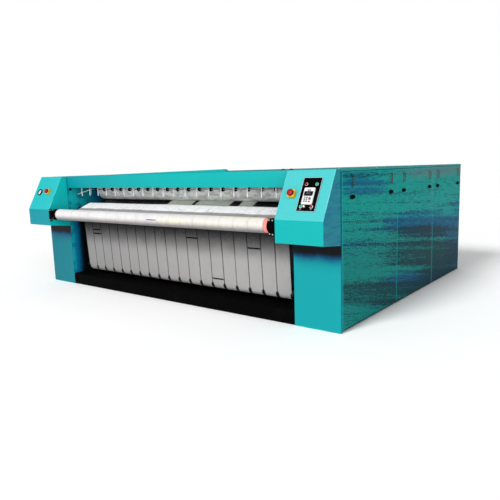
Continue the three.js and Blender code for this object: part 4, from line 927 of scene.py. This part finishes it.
def latch(sign, node):
    """Quarter-turn latch: disc and long grip outside, stem through the door and cam inside."""
    y, z = axis_of(node, "turn")
    face, inside = DOOR_FACE + CLEARANCE, DOOR_FACE - 0.012
    disc = [(0, 0), (0.0205, 0), (0.0210, 0.0015), (0.0195, 0.0055), (0.0120, 0.0065), (0, 0.0065)]
    grip = block((face + 0.0040, y - 0.040, z - 0.015), (face + 0.0120, y + 0.040, z + 0.015), 0.003, 3)
    stem = block((inside, y - 0.0045, z - 0.0045), (face + 0.001, y + 0.0045, z + 0.0045), 0.001)
    cam = block((inside, y - 0.009, z - 0.009), (inside + 0.003, y + 0.009, z + 0.037), 0.001)
    shapes = [turned(toward(sign, disc, face), (0, y, z), 28)]
    shapes += [facing(part, sign) for part in (grip, stem, cam)]
    return piece(f"{node}_grip", {BLACK: shapes}, "black_paint", node, body=node, crease=40)


def doors():
    for side, sign in (("left", -1), ("right", 1)):
        for number in (1, 2, 3):
            node = f"{side}_door_{number}"
            latches = [f"{side}_latch_{number}{letter}" for letter in "ab"]
            door_sheet(sign, node)
            door_handles(sign, node, latches)
            for latch_node in latches:
                latch(sign, latch_node)


# ---------------------------------------------------------------- cylinders, gears and drive


def ironing_cylinder(number):
    """Polished shell with dished ends, a ring of bolts at each end, and bored journals."""
    node, body = f"ironing_cylinder_{number}", f"cylinder_{number}"
    y, z = axis_of(body)
    low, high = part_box(node)
    face, bolt, bolt_circle = BAY - 0.070, 0.008, 0.374
    journal, bore, radius, shell = 0.055, 0.025, STATIONS["cylinder_1"][0], 0.012
    inside = face - 0.025

    def end_profile(end):
        """From the middle of the shell to the end of its journal."""
        return [
            (radius, face - 0.004), (radius - 0.004, face), (radius - 0.040, face),
            (radius - 0.050, face - 0.006), (0.100, face - 0.006), (0.090, face), (journal, face),
            (journal, end - 0.003), (journal - 0.003, end), (bore, end),
        ]

    outside = toward(-1, end_profile(-low.x))[::-1] + end_profile(high.x)
    hollow = [(bore, inside), (radius - shell, inside), (radius - shell, -inside), (bore, -inside)]
    shapes = [turned(outside + hollow + [(bore, low.x)], (0, y, z), 96)]
    for end in (-1, 1):
        shapes += bolt_ring((end * (face - 0.0005), y, z), bolt_circle, 18, 0, end * bolt, 0.009, 6)
    return piece(node + "_shell", {MIRROR: shapes}, "steel", node, body=body, crease=30)


def cut(node, finish, edge, body):
    """A toothed wheel from its solid, with its edges broken."""
    parts = {finish: [from_solid(node, edge, None, 1)]}
    return piece(node + "_cut", parts, "dark_steel", node, body=body, crease=20)


def drive():
    for number in (1, 2, 3):
        ironing_cylinder(number)
        cut(f"drive_gear_{number}", GEAR_IRON, 0.0018, f"cylinder_{number}")
    cut("motor_pinion", STEEL, 0.0012, "motor_pinion")
    motor = {GREY: [from_solid("gear_motor", 0.0025)]}
    piece("gear_motor_casting", motor, "grey_paint", "gear_motor", crease=25)


# ---------------------------------------------------------------- rollers


def carrying_rollers():
    """Turned rollers with chamfered faces and a shaft at each end."""
    face, end, shaft = BELT_SPAN / 2 + 0.016, SHAFT_END, SHAFT_RADIUS
    for name in ("crest_roller", "return_roller", "tension_roller", "idler_roller"):
        radius = STATIONS[name][0]
        half = [(radius, face - 0.003), (radius - 0.003, face), (shaft, face)]
        half += [(shaft, end - 0.0015), (shaft - 0.0015, end), (0, end)]
        shape = turned(both_ways(half), (0, *axis_of(name)), 64)
        piece(f"{name}_turned", {BLUED: [shape]}, "steel", name, body=name)


def front_roller():
    """Front feed roller: steel tube, rubber end rings, black hubs with bright bolts."""
    name = "front_feed_roller"
    centre = (0, *axis_of(name))
    face = BELT_SPAN / 2
    outer, end = face + END_RING, BAY - 0.0006
    tube = turned([(0, -face), (0.0635, -face), (0.0635, face), (0, face)], centre, 64)
    rings, hubs, bolts = [], [], []
    for sign, rubber in ((-1, 0.014), (1, END_RING - 0.004)):
        ring = [(0, 0), (0.0640, 0), (0.0650, 0.002)]
        ring += [(0.0650, rubber - 0.002), (0.0635, rubber), (0, rubber)]
        hub = [
            (0, face + rubber), (0.0610, face + rubber), (0.0610, outer - 0.002), (0.0560, outer),
            (0.0520, outer + 0.002), (0.0520, outer + 0.005), (0.0460, outer + 0.008),
            (SHAFT_RADIUS, outer + 0.008), (SHAFT_RADIUS, end), (0, end),
        ]
        rings.append(turned(toward(sign, ring, face), centre, 64))
        hubs.append(turned(toward(sign, hub), centre, 48))
        spot = (sign * (outer + 0.0075), *centre[1:])
        bolts += bolt_ring(spot, 0.036, 6, 0.3, sign * 0.0025, 0.0045, 8)
    parts = {STEEL: [tube], RUBBER: rings, BLACK: hubs, ZINC: bolts}
    return piece(f"{name}_core", parts, "end_rubber", name, body=name, crease=35)


def arm_fittings():
    """Flanged bearing at the tip of each roller arm, a cap over the tip, and bright bolts."""
    y, z = axis_of("front_feed_roller")
    arm = BAY - CLEARANCE - ARM_THICKNESS
    flange = ring_profile(0.0525, 0.066, -0.012, -0.0002, 0.002)
    black, bolts = [], []
    for sign in (-1, 1):
        cap = block((BAY - 0.062, y - 0.078, z - 0.078), (BAY - 0.0004, y - 0.070, z + 0.070), 0.002)
        black += [turned(toward(sign, flange, arm), (0, y, z), 40), facing(cap, sign)]
        bolts += bolt_ring((sign * (arm - 0.0118), y, z), 0.059, 4, 0.6, sign * -0.004, 0.005, 6)
        for inward, up in ((0.014, 0.056), (0.048, 0.058), (0.014, -0.064), (0.046, -0.060)):
            bolts.append(rod((sign * (BAY - inward), y - 0.0785, z + up), (0, -0.006, 0), 0.0065, 8))
        for back, up in ((0.085, -0.030), (0.085, 0.030), (0.130, -0.030), (0.130, 0.030)):
            bolts.append(rod((sign * (arm + 0.0002), y + back, z + up), (sign * -0.008, 0, 0), 0.009, 6))
    return piece("arm_bearings", {BLACK: black, ZINC: bolts}, "black_paint", crease=35)


def press_roller():
    """Clothed press roller: a padded sleeve, slightly crowned, tied in at its ends."""
    name = "press_roller"
    face, radius, crown = BAY - 0.085, 0.128, 0.0018
    crowned = [face * (step / 20 - 1) * 0.995 for step in range(41)]
    tie = [(radius - 0.006, face - 0.004), (radius - 0.020, face), (0, face)]
    sleeve = toward(-1, tie)[::-1]
    sleeve += [(radius - crown * (place / face) ** 2, place) for place in crowned] + tie
    centre = (0, *axis_of(name))
    shaft = disc_profile(SHAFT_RADIUS, -SHAFT_END, SHAFT_END, 0.0015)
    parts = {CLOTHING: [turned(sleeve, centre, 72)], STEEL: [turned(shaft, centre, 32)]}
    made = piece(f"{name}_clothing", parts, "cotton", name, body=name, crease=45)
    return made


# ---------------------------------------------------------------- belts


def belt_stations():
    """The stations as (y, z, radius of the belt's middle, turn, facet angle)."""
    stations = []
    for name, (radius, turn, facet) in STATIONS.items():
        y, z = TABLE_FOOT if name == "table_foot" else axis_of(name)
        stations.append((y, z, radius + BELT_MIDDLE, turn, radians(facet)))
    return stations


def run_direction(start, end):
    """Direction of the straight run that leaves one station and joins the next."""
    dy, dz = end[0] - start[0], end[1] - start[1]
    offset = end[3] * end[2] - start[3] * start[2]
    return atan2(dz, dy) - asin(offset / hypot(dy, dz))


RUN_STEPS = [6, 12, 2, 4, 8, 30, 6]  # pieces of each straight run, from the front roller on


def belt_route():
    """Points (y, z, direction, station) along the middle line of a belt; a run's station ends in .5."""
    stations = belt_stations()
    route = []
    for index, (y, z, radius, turn, step) in enumerate(stations):
        before, after = stations[index - 1], stations[(index + 1) % len(stations)]
        arriving = run_direction(before, stations[index])
        leaving = run_direction(stations[index], after)
        bend = (turn * (leaving - arriving)) % (2 * pi)
        facets = max(2, ceil(bend / step))
        for facet in range(facets + 1):
            heading = arriving + turn * bend * facet / facets
            reach = turn * radius
            route.append((y + reach * sin(heading), z - reach * cos(heading), heading, index))
        y_start, z_start = route[-1][:2]
        y_end = after[0] + after[3] * after[2] * sin(leaving)
        z_end = after[1] - after[3] * after[2] * cos(leaving)
        for part in range(1, RUN_STEPS[index]):
            share = part / RUN_STEPS[index]
            y_run = y_start + (y_end - y_start) * share
            z_run = z_start + (z_end - z_start) * share
            route.append((y_run, z_run, leaving, index + 0.5))
    return route


def billow(x, station, y):
    """How far the slack cloth of the table stands off its bed."""
    if station not in (1, 1.5, 2):
        return 0.0
    along = (y - FRONT - 0.02) / 0.23
    weight = held(along * 2.2) * held((1.12 - along) * 5)
    swell, ripple = 0.0085, 0.0022
    return swell * wave(x, 0.7) * weight + ripple * wave(4 * x + 9 * y, 2.2) * weight


def widening(station, z):
    """How far each edge spreads where the cloth lies loose, or draws in at the tension roller."""
    loose, pinch = 0.0022, 0.016
    if station in (0, 0.5, 1, 1.5, 2):
        return loose
    if station == 5.5:
        return -pinch * held((0.240 - z) / 0.062) ** 1.5
    return -pinch if station == 5 else 0.0


BELT_FRAYS = [
    0.0, 0.8, -0.6, 0.4, -0.9, 0.7, -0.2, 0.5, -0.7, 0.9, 0.1, -0.5, 0.6, -0.8, 0.3, 0.9, -0.4, 0.2, -0.1
]


def feed_belt(index, route, distances):
    """One endless belt: a strip mapped onto the route, its ends joined."""
    shape = bmesh.new()
    rows = len(route)
    bmesh.ops.create_grid(shape, x_segments=6, y_segments=rows, size=1)
    chart = shape.loops.layers.uv.new("weave")
    half = BELT_WIDTH / 2 + 0.0008 * BELT_FRAYS[index]
    middle = belt_x(index) + 0.0006 * BELT_FRAYS[-index]
    for face in shape.faces:
        for loop in face.loops:
            row = round((loop.vert.co.y + 1) / 2 * rows)
            loop[chart].uv = (middle + loop.vert.co.x * half, distances[row])
    for vert in shape.verts:
        row = round((vert.co.y + 1) / 2 * rows) % rows
        y, z, heading, station = route[row]
        x = middle + vert.co.x * (half + widening(station, z))
        off = billow(x, station, y)
        vert.co = (x, y - off * sin(heading), z + off * cos(heading))
    bmesh.ops.remove_doubles(shape, verts=shape.verts, dist=1e-6)
    return thickened(shape, BELT_THICKNESS / 2)


def feed_belts():
    route = belt_route()
    distances = [0.0]
    for (y0, z0, *_), (y1, z1, *_) in zip(route, route[1:] + route[:1]):
        distances.append(distances[-1] + hypot(y1 - y0, z1 - z0))
    belts = [feed_belt(index, route, distances) for index in range(BELT_COUNT)]
    return piece("feed_belts", {BELT_CLOTH: belts}, "belt_cloth", "feed_belt_set", crease=50)


def slide_bed():
    """Black bed under the sloping run, with a turned-down lip and a cross tube."""
    stations = belt_stations()
    slope = run_direction(stations[1], stations[2])
    along = Vector((0, cos(slope), sin(slope)))
    down = Vector((0, sin(slope), -cos(slope)))
    y, z, radius = stations[1][:3]
    start = Vector((0, y, z)) + down * (radius + 0.0028)
    half, tube_half, tube_side = BELT_SPAN / 2 + 0.035, BAY - 0.0286, 0.017
    line = [start + down * 0.026, start + down * 0.002, start + along * 0.002, start + along * 0.196]
    bed = strip([point - Vector((half, 0, 0)) for point in line], (2 * half, 0, 0), 0.0035)
    tube = block((-tube_half, -tube_side, -tube_side), (tube_half, tube_side, tube_side), 0.003)
    spot = Matrix.Translation(start + along * 0.085 + down * 0.022)
    parts = {BLACK: [bed, laid(tube, spot @ Matrix.Rotation(slope, 4, "X"))]}
    return piece("slide_bed", parts, "black_paint", "feed_belt_set", crease=20)


# The hanging run of the belts, at the middle of the machine
RUN_FOOT = Vector((0, FRONT + 0.1578, 0.2326))
RUN_TOP = Vector((0, FRONT + 0.1202, 0.8726))


def lacing(index, height, width=0.150):
    """Clipper lacing across a hanging belt: a dark pin with a row of wire hooks."""
    run = RUN_TOP - RUN_FOOT
    line = run.normalized()
    tall, count = 0.010, 15
    centre = RUN_FOOT + run * ((height - RUN_FOOT.z) / run.z) + Vector((0, -line.z, line.y)) * 0.0027
    centre.x = belt_x(index)
    plate_half = Vector((width / 2, 0.0007, tall / 2))
    shapes = [block(centre - plate_half, centre + plate_half, 0.0004, 1)]
    for step in range(count):
        hook = centre + Vector(((step / (count - 1) - 0.5) * (width - 0.006), 0, 0))
        low, high = Vector((-0.0015, -0.0014, -tall * 0.8)), Vector((0.0015, 0.0004, tall * 0.8))
        shapes.append(block(hook + low, hook + high))
    return joined(*shapes)


def lacings():
    """Joints of the belts that happen to stand in the hanging run, and one on the front roller."""
    places = ((11, 0.710), (13, 0.293), (16, 0.654), (1, 0.720, 0.140), (1, 0.670, 0.140))
    shapes = [lacing(*place) for place in places]
    y, z = axis_of("front_feed_roller")
    x = belt_x(10)
    surface = y - STATIONS["front_feed_roller"][0] - 2 * BELT_MIDDLE - 0.0002
    low, high = (x - 0.07, surface - 0.0008, z + 0.001), (x + 0.07, surface + 0.0012, z + 0.008)
    shapes.append(block(low, high, 0.0003, 1))
    return piece("belt_lacings", {BLACK: shapes}, "dark_steel", crease=40)


# ---------------------------------------------------------------- above the nip


def guide_wheels():
    """Shaft with a rubber-tyred guide wheel over each belt."""
    low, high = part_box("guide_wheel_shaft")
    y, z = (low.y + high.y) / 2, (low.z + high.z) / 2
    end, bore = BAY - CLEARANCE, 0.006
    half = [(0.0230, 0.004), (0.0215, 0.008), (0.0180, 0.009), (0.0175, 0.005), (bore, 0.005)]
    tyre = both_ways(half) + [(bore, -0.005)]
    collar = ring_profile(bore, 0.009, 0.0052, 0.012, 0.001)
    centres = [(belt_x(index) + 0.007, y, z) for index in range(BELT_COUNT)]
    tyres = [turned(tyre, centre, 20) for centre in centres]
    metal = [turned(collar, centre, 14) for centre in centres]
    metal.append(turned(disc_profile(bore, -end, end, 0.001), (0, y, z), 16))
    parts = {BLACK: tyres, ZINC: metal}
    return piece("guide_wheels", parts, "black_paint", "guide_wheel_shaft", crease=35)


def finger(x, y, top):
    """A moulded finger that tapers and rounds to its tip, on its sleeve."""
    length, root, taper = 0.140, 0.02, 0.45
    shape = block((x - 0.010, y - 0.0015, top - length), (x + 0.010, y + 0.0015, top + 0.004), 0.0008)
    for vert in shape.verts:
        share = held((top - root - vert.co.z) / (length - root))
        vert.co.x = x + (vert.co.x - x) * (1 - taper * share)
    sleeve = turned(ring_profile(0.0091, 0.0125, x - 0.012, x + 0.012, 0.001), (0, y, top), 16)
    return joined(shape, sleeve)


def finger_guard():
    name = "finger_guard"
    y, z = axis_of(name, "swing")
    bar = turned(disc_profile(0.009, -SHAFT_END, SHAFT_END, 0.001), (0, y, z), 20)
    fingers = [finger(belt_x(index) - 0.016, y, z) for index in range(BELT_COUNT)]
    parts = {WHITE: fingers, STEEL: [bar]}
    return piece(f"{name}_bar", parts, "white_plastic", name, body=name, crease=35)


def wall_fittings():
    """A black disc as painted shade in a bore of the left wall, and the small rod frame at the left end of
    the feed opening.
    """
    wall, y = -BAY, FRONT + 0.15
    # Painted shade: a black disc where the wall has a bore.
    bore_shade = disc_profile(0.017, wall - 0.0002, wall + 0.003, 0.001)
    start = Vector((wall - 0.0005, y, 1.165))
    elbow = Vector((-1.655, y, 1.180))
    upper = Vector((-1.425, y, 1.229)) - elbow
    rods = [
        rod(start, elbow - start, 0.0065, 10),
        rod(elbow, upper, 0.0065, 10),
        rod(elbow + upper * 0.12, (0, 0, -0.045), 0.0045, 8),
        rod(elbow + upper * 0.94, (0, 0, -0.062), 0.0045, 8),
    ]
    parts = {BLACK: [turned(bore_shade, (0, FRONT + 0.042, 1.232), 24)], WHITE: rods}
    return piece("wall_fittings", parts, "steel", crease=35)


# ---------------------------------------------------------------- controls


def printed_border():
    """A pale frame along the edge of the panel."""
    shape = bmesh.new()
    rings = []
    for inset, corner in ((0.0006, 0.006), (0.0046, 0.004)):
        size = (PANEL_WIDTH - 2 * inset, PANEL_HEIGHT - 2 * inset)
        outline = rounded_rectangle(PANEL_X, PANEL_UP, *size, corner)
        rings += chain(shape, [(x, y, 0) for x, y in outline], closed=True)
    bmesh.ops.bridge_loops(shape, edges=rings)
    return thickened(shape, 0.0003)


def control_panel():
    """Black plate with its border, generic legends, and rings round the lamps and buttons."""
    face = PANEL_FACE + 0.0002
    printed = [on_slope(printed_border(), face)]
    for text, side in (("ON", -BUTTON_SIDE), ("OFF", BUTTON_SIDE)):
        printed.append(slope_text(text, 0.010, PANEL_X + side, BUTTON_UP - 0.0245, face))
    ring = ring_profile(0.0114, 0.015, PANEL_FACE + 0.0005, PANEL_FACE + 0.0035, 0.0008)
    parts = {
        BLACK: [from_solid("control_panel_plate")],
        PRINT: printed,
        ZINC: [slope_turned(ring, PANEL_X + side, LAMP_UP, 32) for side in (-LAMP_SIDE, LAMP_SIDE)],
        WHITE: [slope_turned(ring, PANEL_X + side, BUTTON_UP, 32) for side in (-BUTTON_SIDE, BUTTON_SIDE)],
    }
    return piece("control_panel_face", parts, "black_paint", "control_panel_plate", crease=30)


def key(x, up, width):
    return slope_plate(x, up, width, 0.012, 0.003, 0.0022, 0.0006, -0.0014)


def speed_unit():
    """White moulded unit: glass screen under a dark arched light bar, keys and a dial."""
    disc = [(0, 0), (0.0125, 0), (0.0125, 0.003), (0.0105, 0.0045), (0.0085, 0.0035), (0, 0.0035)]
    grey = [
        slope_text("00.0", 0.020, PANEL_X, UNIT_UP + 0.021, UNIT_FACE + 0.0009),
        slope_plate(0, 0.050, 0.034, 0.012, 0.0055, 0.0016, 0.0004, -0.0005),
        slope_turned(disc, PANEL_X + 0.022, UNIT_UP - 0.024, 32, UNIT_FACE - 0.0014),
    ]
    grey += [key(x, up, 0.016) for x in (-0.026, -0.005) for up in (-0.014, -0.031, -0.048)]
    parts = {
        WHITE: [from_solid("inverter_unit", 0.0012)],
        DARK_GLASS: [slope_plate(0, 0.020, 0.083, 0.042, 0.003, 0.0026, 0.0004, -0.0019)],
        KEY_GREY: grey,
        RED: [key(0.022, -0.050, 0.018)],
    }
    return piece("speed_unit", parts, "white_plastic", "inverter_unit", crease=30)


def lamp(name, x, finish, slot):
    """Domed lens."""
    radius, dome, top = 0.0105, 0.0075, PANEL_FACE + 0.016
    profile = [(0, -0.014), (radius, -0.014), (radius, top - dome)]
    profile += [(radius * cos(a), top - dome + dome * sin(a)) for a in (0.3, 0.6, 0.9, 1.2, 1.4)]
    shape = slope_turned(profile + [(0, top)], x, LAMP_UP, 32)
    return piece(f"{name}_lens", {finish: [shape]}, slot, name, crease=30)


def push_button(name, x, finish, slot):
    """Round cap with a shallow dish for the finger."""
    radius, foot, top = 0.0106, -0.012, PANEL_FACE + 0.012
    profile = [(0, foot), (radius, foot), (radius, top - 0.002), (0.0100, top - 0.0006)]
    profile += [(0.0088, top), (0.0070, top - 0.0006), (0, top - 0.0014)]
    shape = slope_turned(profile, x, BUTTON_UP, 32)
    return piece(f"{name}_cap", {finish: [shape]}, slot, name, body=name, crease=30)


def speed_knob():
    name = "speed_knob"
    parts = {WHITE: [from_solid(name, 0.0005)]}
    return piece(f"{name}_grip", parts, "white_plastic", name, body=name, crease=30)


def ring_sector(inner, outer, start, level):
    """A raised arc that shows which way a head is turned to free it."""
    shape = bmesh.new()
    chain(shape, [(radius * cos(start), radius * sin(start), level) for radius in (inner, outer)])
    spin(shape, (0, 0, 0), (0, 0, 1), radians(70), 6)
    return outward(thickened(shape, 0.0016))


def estop(side, x, up):
    """Emergency stop: rounded yellow box with a black collar, and a red mushroom head."""
    box, head = f"estop_base_{side}", f"estop_head_{side}"
    face, stem = CLEARANCE + 0.030, 0.0118
    under = face + 0.010
    collar = ring_profile(0.0150, 0.0275, face - 0.0002, face + 0.0030, 0.0010)
    cap = [
        (0.0270, 0.0006), (0.0300, 0.0030), (0.0302, 0.006), (0.0285, 0.0105),
        (0.0230, 0.0140), (0.0130, 0.0160), (0, 0.0165),
    ]
    mushroom = [(0, 0.002), (stem, 0.002), (stem, under)] + toward(1, cap, under)
    arrows = [ring_sector(0.0165, 0.0195, radians(start), under + 0.0142) for start in (0, 120, 240)]
    parts = {
        YELLOW: [from_solid(box, 0.003, lambda co: (SLOPE.inverted() @ co).z > 0.02)],
        BLACK: [slope_turned(collar, x, up, 36)],
    }
    piece(f"estop_box_{side}", parts, "yellow_plastic", box, crease=28)
    parts = {
        RED: [slope_turned(mushroom, x, up, 48)],
        BLACK: [on_slope(moved(arrow, x, up)) for arrow in arrows],
    }
    return piece(f"{head}_mushroom", parts, "red_plastic", head, body=head, crease=40)


def gauge():
    """Pressure gauge: black dished case, white dial with ticks and plain numbers, red needle."""
    x, up = GAUGE
    dish, inner, outer = 0.007, 0.0290, 0.0420
    dial = ring_profile(0.0032, inner, dish + 0.0001, dish + 0.0007, 0.0001)
    rim = [(inner, dish + 0.0001), (outer, dish + 0.0001), (outer, 0.0130), (0.0405, 0.0142)]
    rim += [(0.0350, 0.0142), (inner, dish + 0.0012), (inner, dish + 0.0001)]
    black = [from_solid("gauge_case"), slope_turned(rim, x, up, 48)]
    for step in range(11):
        angle = radians(225 - 27 * step)
        tick = block((-0.0008, 0.0220, 0), (0.0008, 0.0275, 0.0004))
        turn = Matrix.Translation((x, up, 0)) @ Matrix.Rotation(angle - pi / 2, 4, "Z")
        black.append(on_slope(laid(tick, turn), dish + 0.0005))
        if step % 2 == 0:
            spot = (x + 0.0170 * cos(angle), up + 0.0170 * sin(angle))
            black.append(slope_text(str(step), 0.0066, *spot, dish + 0.0008))
    parts = {BLACK: black, WHITE: [slope_turned(dial, x, up, 48)]}
    piece("gauge_face", parts, "black_paint", "gauge_case", crease=30)
    name = "gauge_needle"
    return piece("gauge_pointer", {RED: [from_solid(name)]}, "red_plastic", name, body=name, crease=30)


def controls():
    control_panel()
    speed_unit()
    lamp("lamp_red", PANEL_X - LAMP_SIDE, RED, "red_plastic")
    lamp("lamp_green", PANEL_X + LAMP_SIDE, GREEN, "green_plastic")
    push_button("start_button", PANEL_X - BUTTON_SIDE, GREEN, "green_plastic")
    push_button("stop_button", PANEL_X + BUTTON_SIDE, RED, "red_plastic")
    speed_knob()
    estop("right", *ESTOP_RIGHT)
    estop("left", *ESTOP_LEFT)
    gauge()


# ---------------------------------------------------------------- floor, light and camera


def floor():
    shape = bmesh.new()
    half_side = 60
    bmesh.ops.create_grid(shape, x_segments=8, y_segments=8, size=half_side)
    mesh = bpy.data.meshes.new("floor")
    shape.to_mesh(mesh)
    shape.free()
    mesh.materials.append(pale_floor())
    placed("floor", mesh)


def sun(name, left_turn, elevation, spread, strength):
    """A wide, soft far lamp; left_turn is its turn to the left of straight ahead of the machine."""
    light = bpy.data.lights.new(name, "SUN")
    light.angle = radians(spread)
    light.energy = strength
    turn, drop = radians(left_turn), radians(elevation)
    travel = Vector((sin(turn) * cos(drop), cos(turn) * cos(drop), -sin(drop)))
    placed(name, light).rotation_euler = travel.to_track_quat("-Z", "Y").to_euler()


def white_surroundings():
    """Plain white behind everything, and a dimmer even light from all round."""
    world = bpy.data.worlds.new("studio")
    bpy.context.scene.world = world
    world.use_nodes = True
    tree = world.node_tree
    even = tree.nodes["Background"]
    backdrop = tree.nodes.new("ShaderNodeBackground")
    for background, strength in ((even, 0.42), (backdrop, 1.0)):
        background.inputs["Color"].default_value = (1, 1, 1, 1)
        background.inputs["Strength"].default_value = strength
    seen = tree.nodes.new("ShaderNodeLightPath")
    both = tree.nodes.new("ShaderNodeMixShader")
    tree.links.new(seen.outputs["Is Camera Ray"], both.inputs[0])
    tree.links.new(even.outputs[0], both.inputs[1])
    tree.links.new(backdrop.outputs[0], both.inputs[2])
    tree.links.new(both.outputs[0], tree.nodes["World Output"].inputs["Surface"])


def studio():
    floor()
    white_surroundings()
    sun("key", 10, 36, 18, 2.7)
    sun("low_fill", 4, 4, 30, 1.15)
    sun("right_fill", -60, 15, 40, 1.4)
    bpy.context.scene.view_settings.view_transform = "Standard"


def camera():
    """Camera fitted to the photograph's frame."""
    yaw, pitch, roll = 0.6691, 0.1566, -0.0317
    forward = Vector((-sin(yaw) * cos(pitch), cos(yaw) * cos(pitch), -sin(pitch)))
    level = Vector((cos(yaw), sin(yaw), 0))
    upright = level.cross(forward)
    right = cos(roll) * level + sin(roll) * upright
    up = -sin(roll) * level + cos(roll) * upright
    lens = bpy.data.cameras.new("camera")
    focal_pixels, picture_pixels = 516.92, 500
    lens.sensor_width = 36
    lens.lens = lens.sensor_width * focal_pixels / picture_pixels
    lens.clip_end = 200
    made = placed("camera", lens)
    made.matrix_world = Matrix((right, up, -forward)).transposed().to_4x4()
    made.location = (4.24022, -5.29677, 1.42736)
    bpy.context.scene.camera = made


bodywork()
cover_screws()
lifting_eyes()
doors()
drive()
carrying_rollers()
front_roller()
arm_fittings()
press_roller()
feed_belts()
slide_bed()
lacings()
guide_wheels()
finger_guard()
wall_fittings()
controls()
studio()
camera()
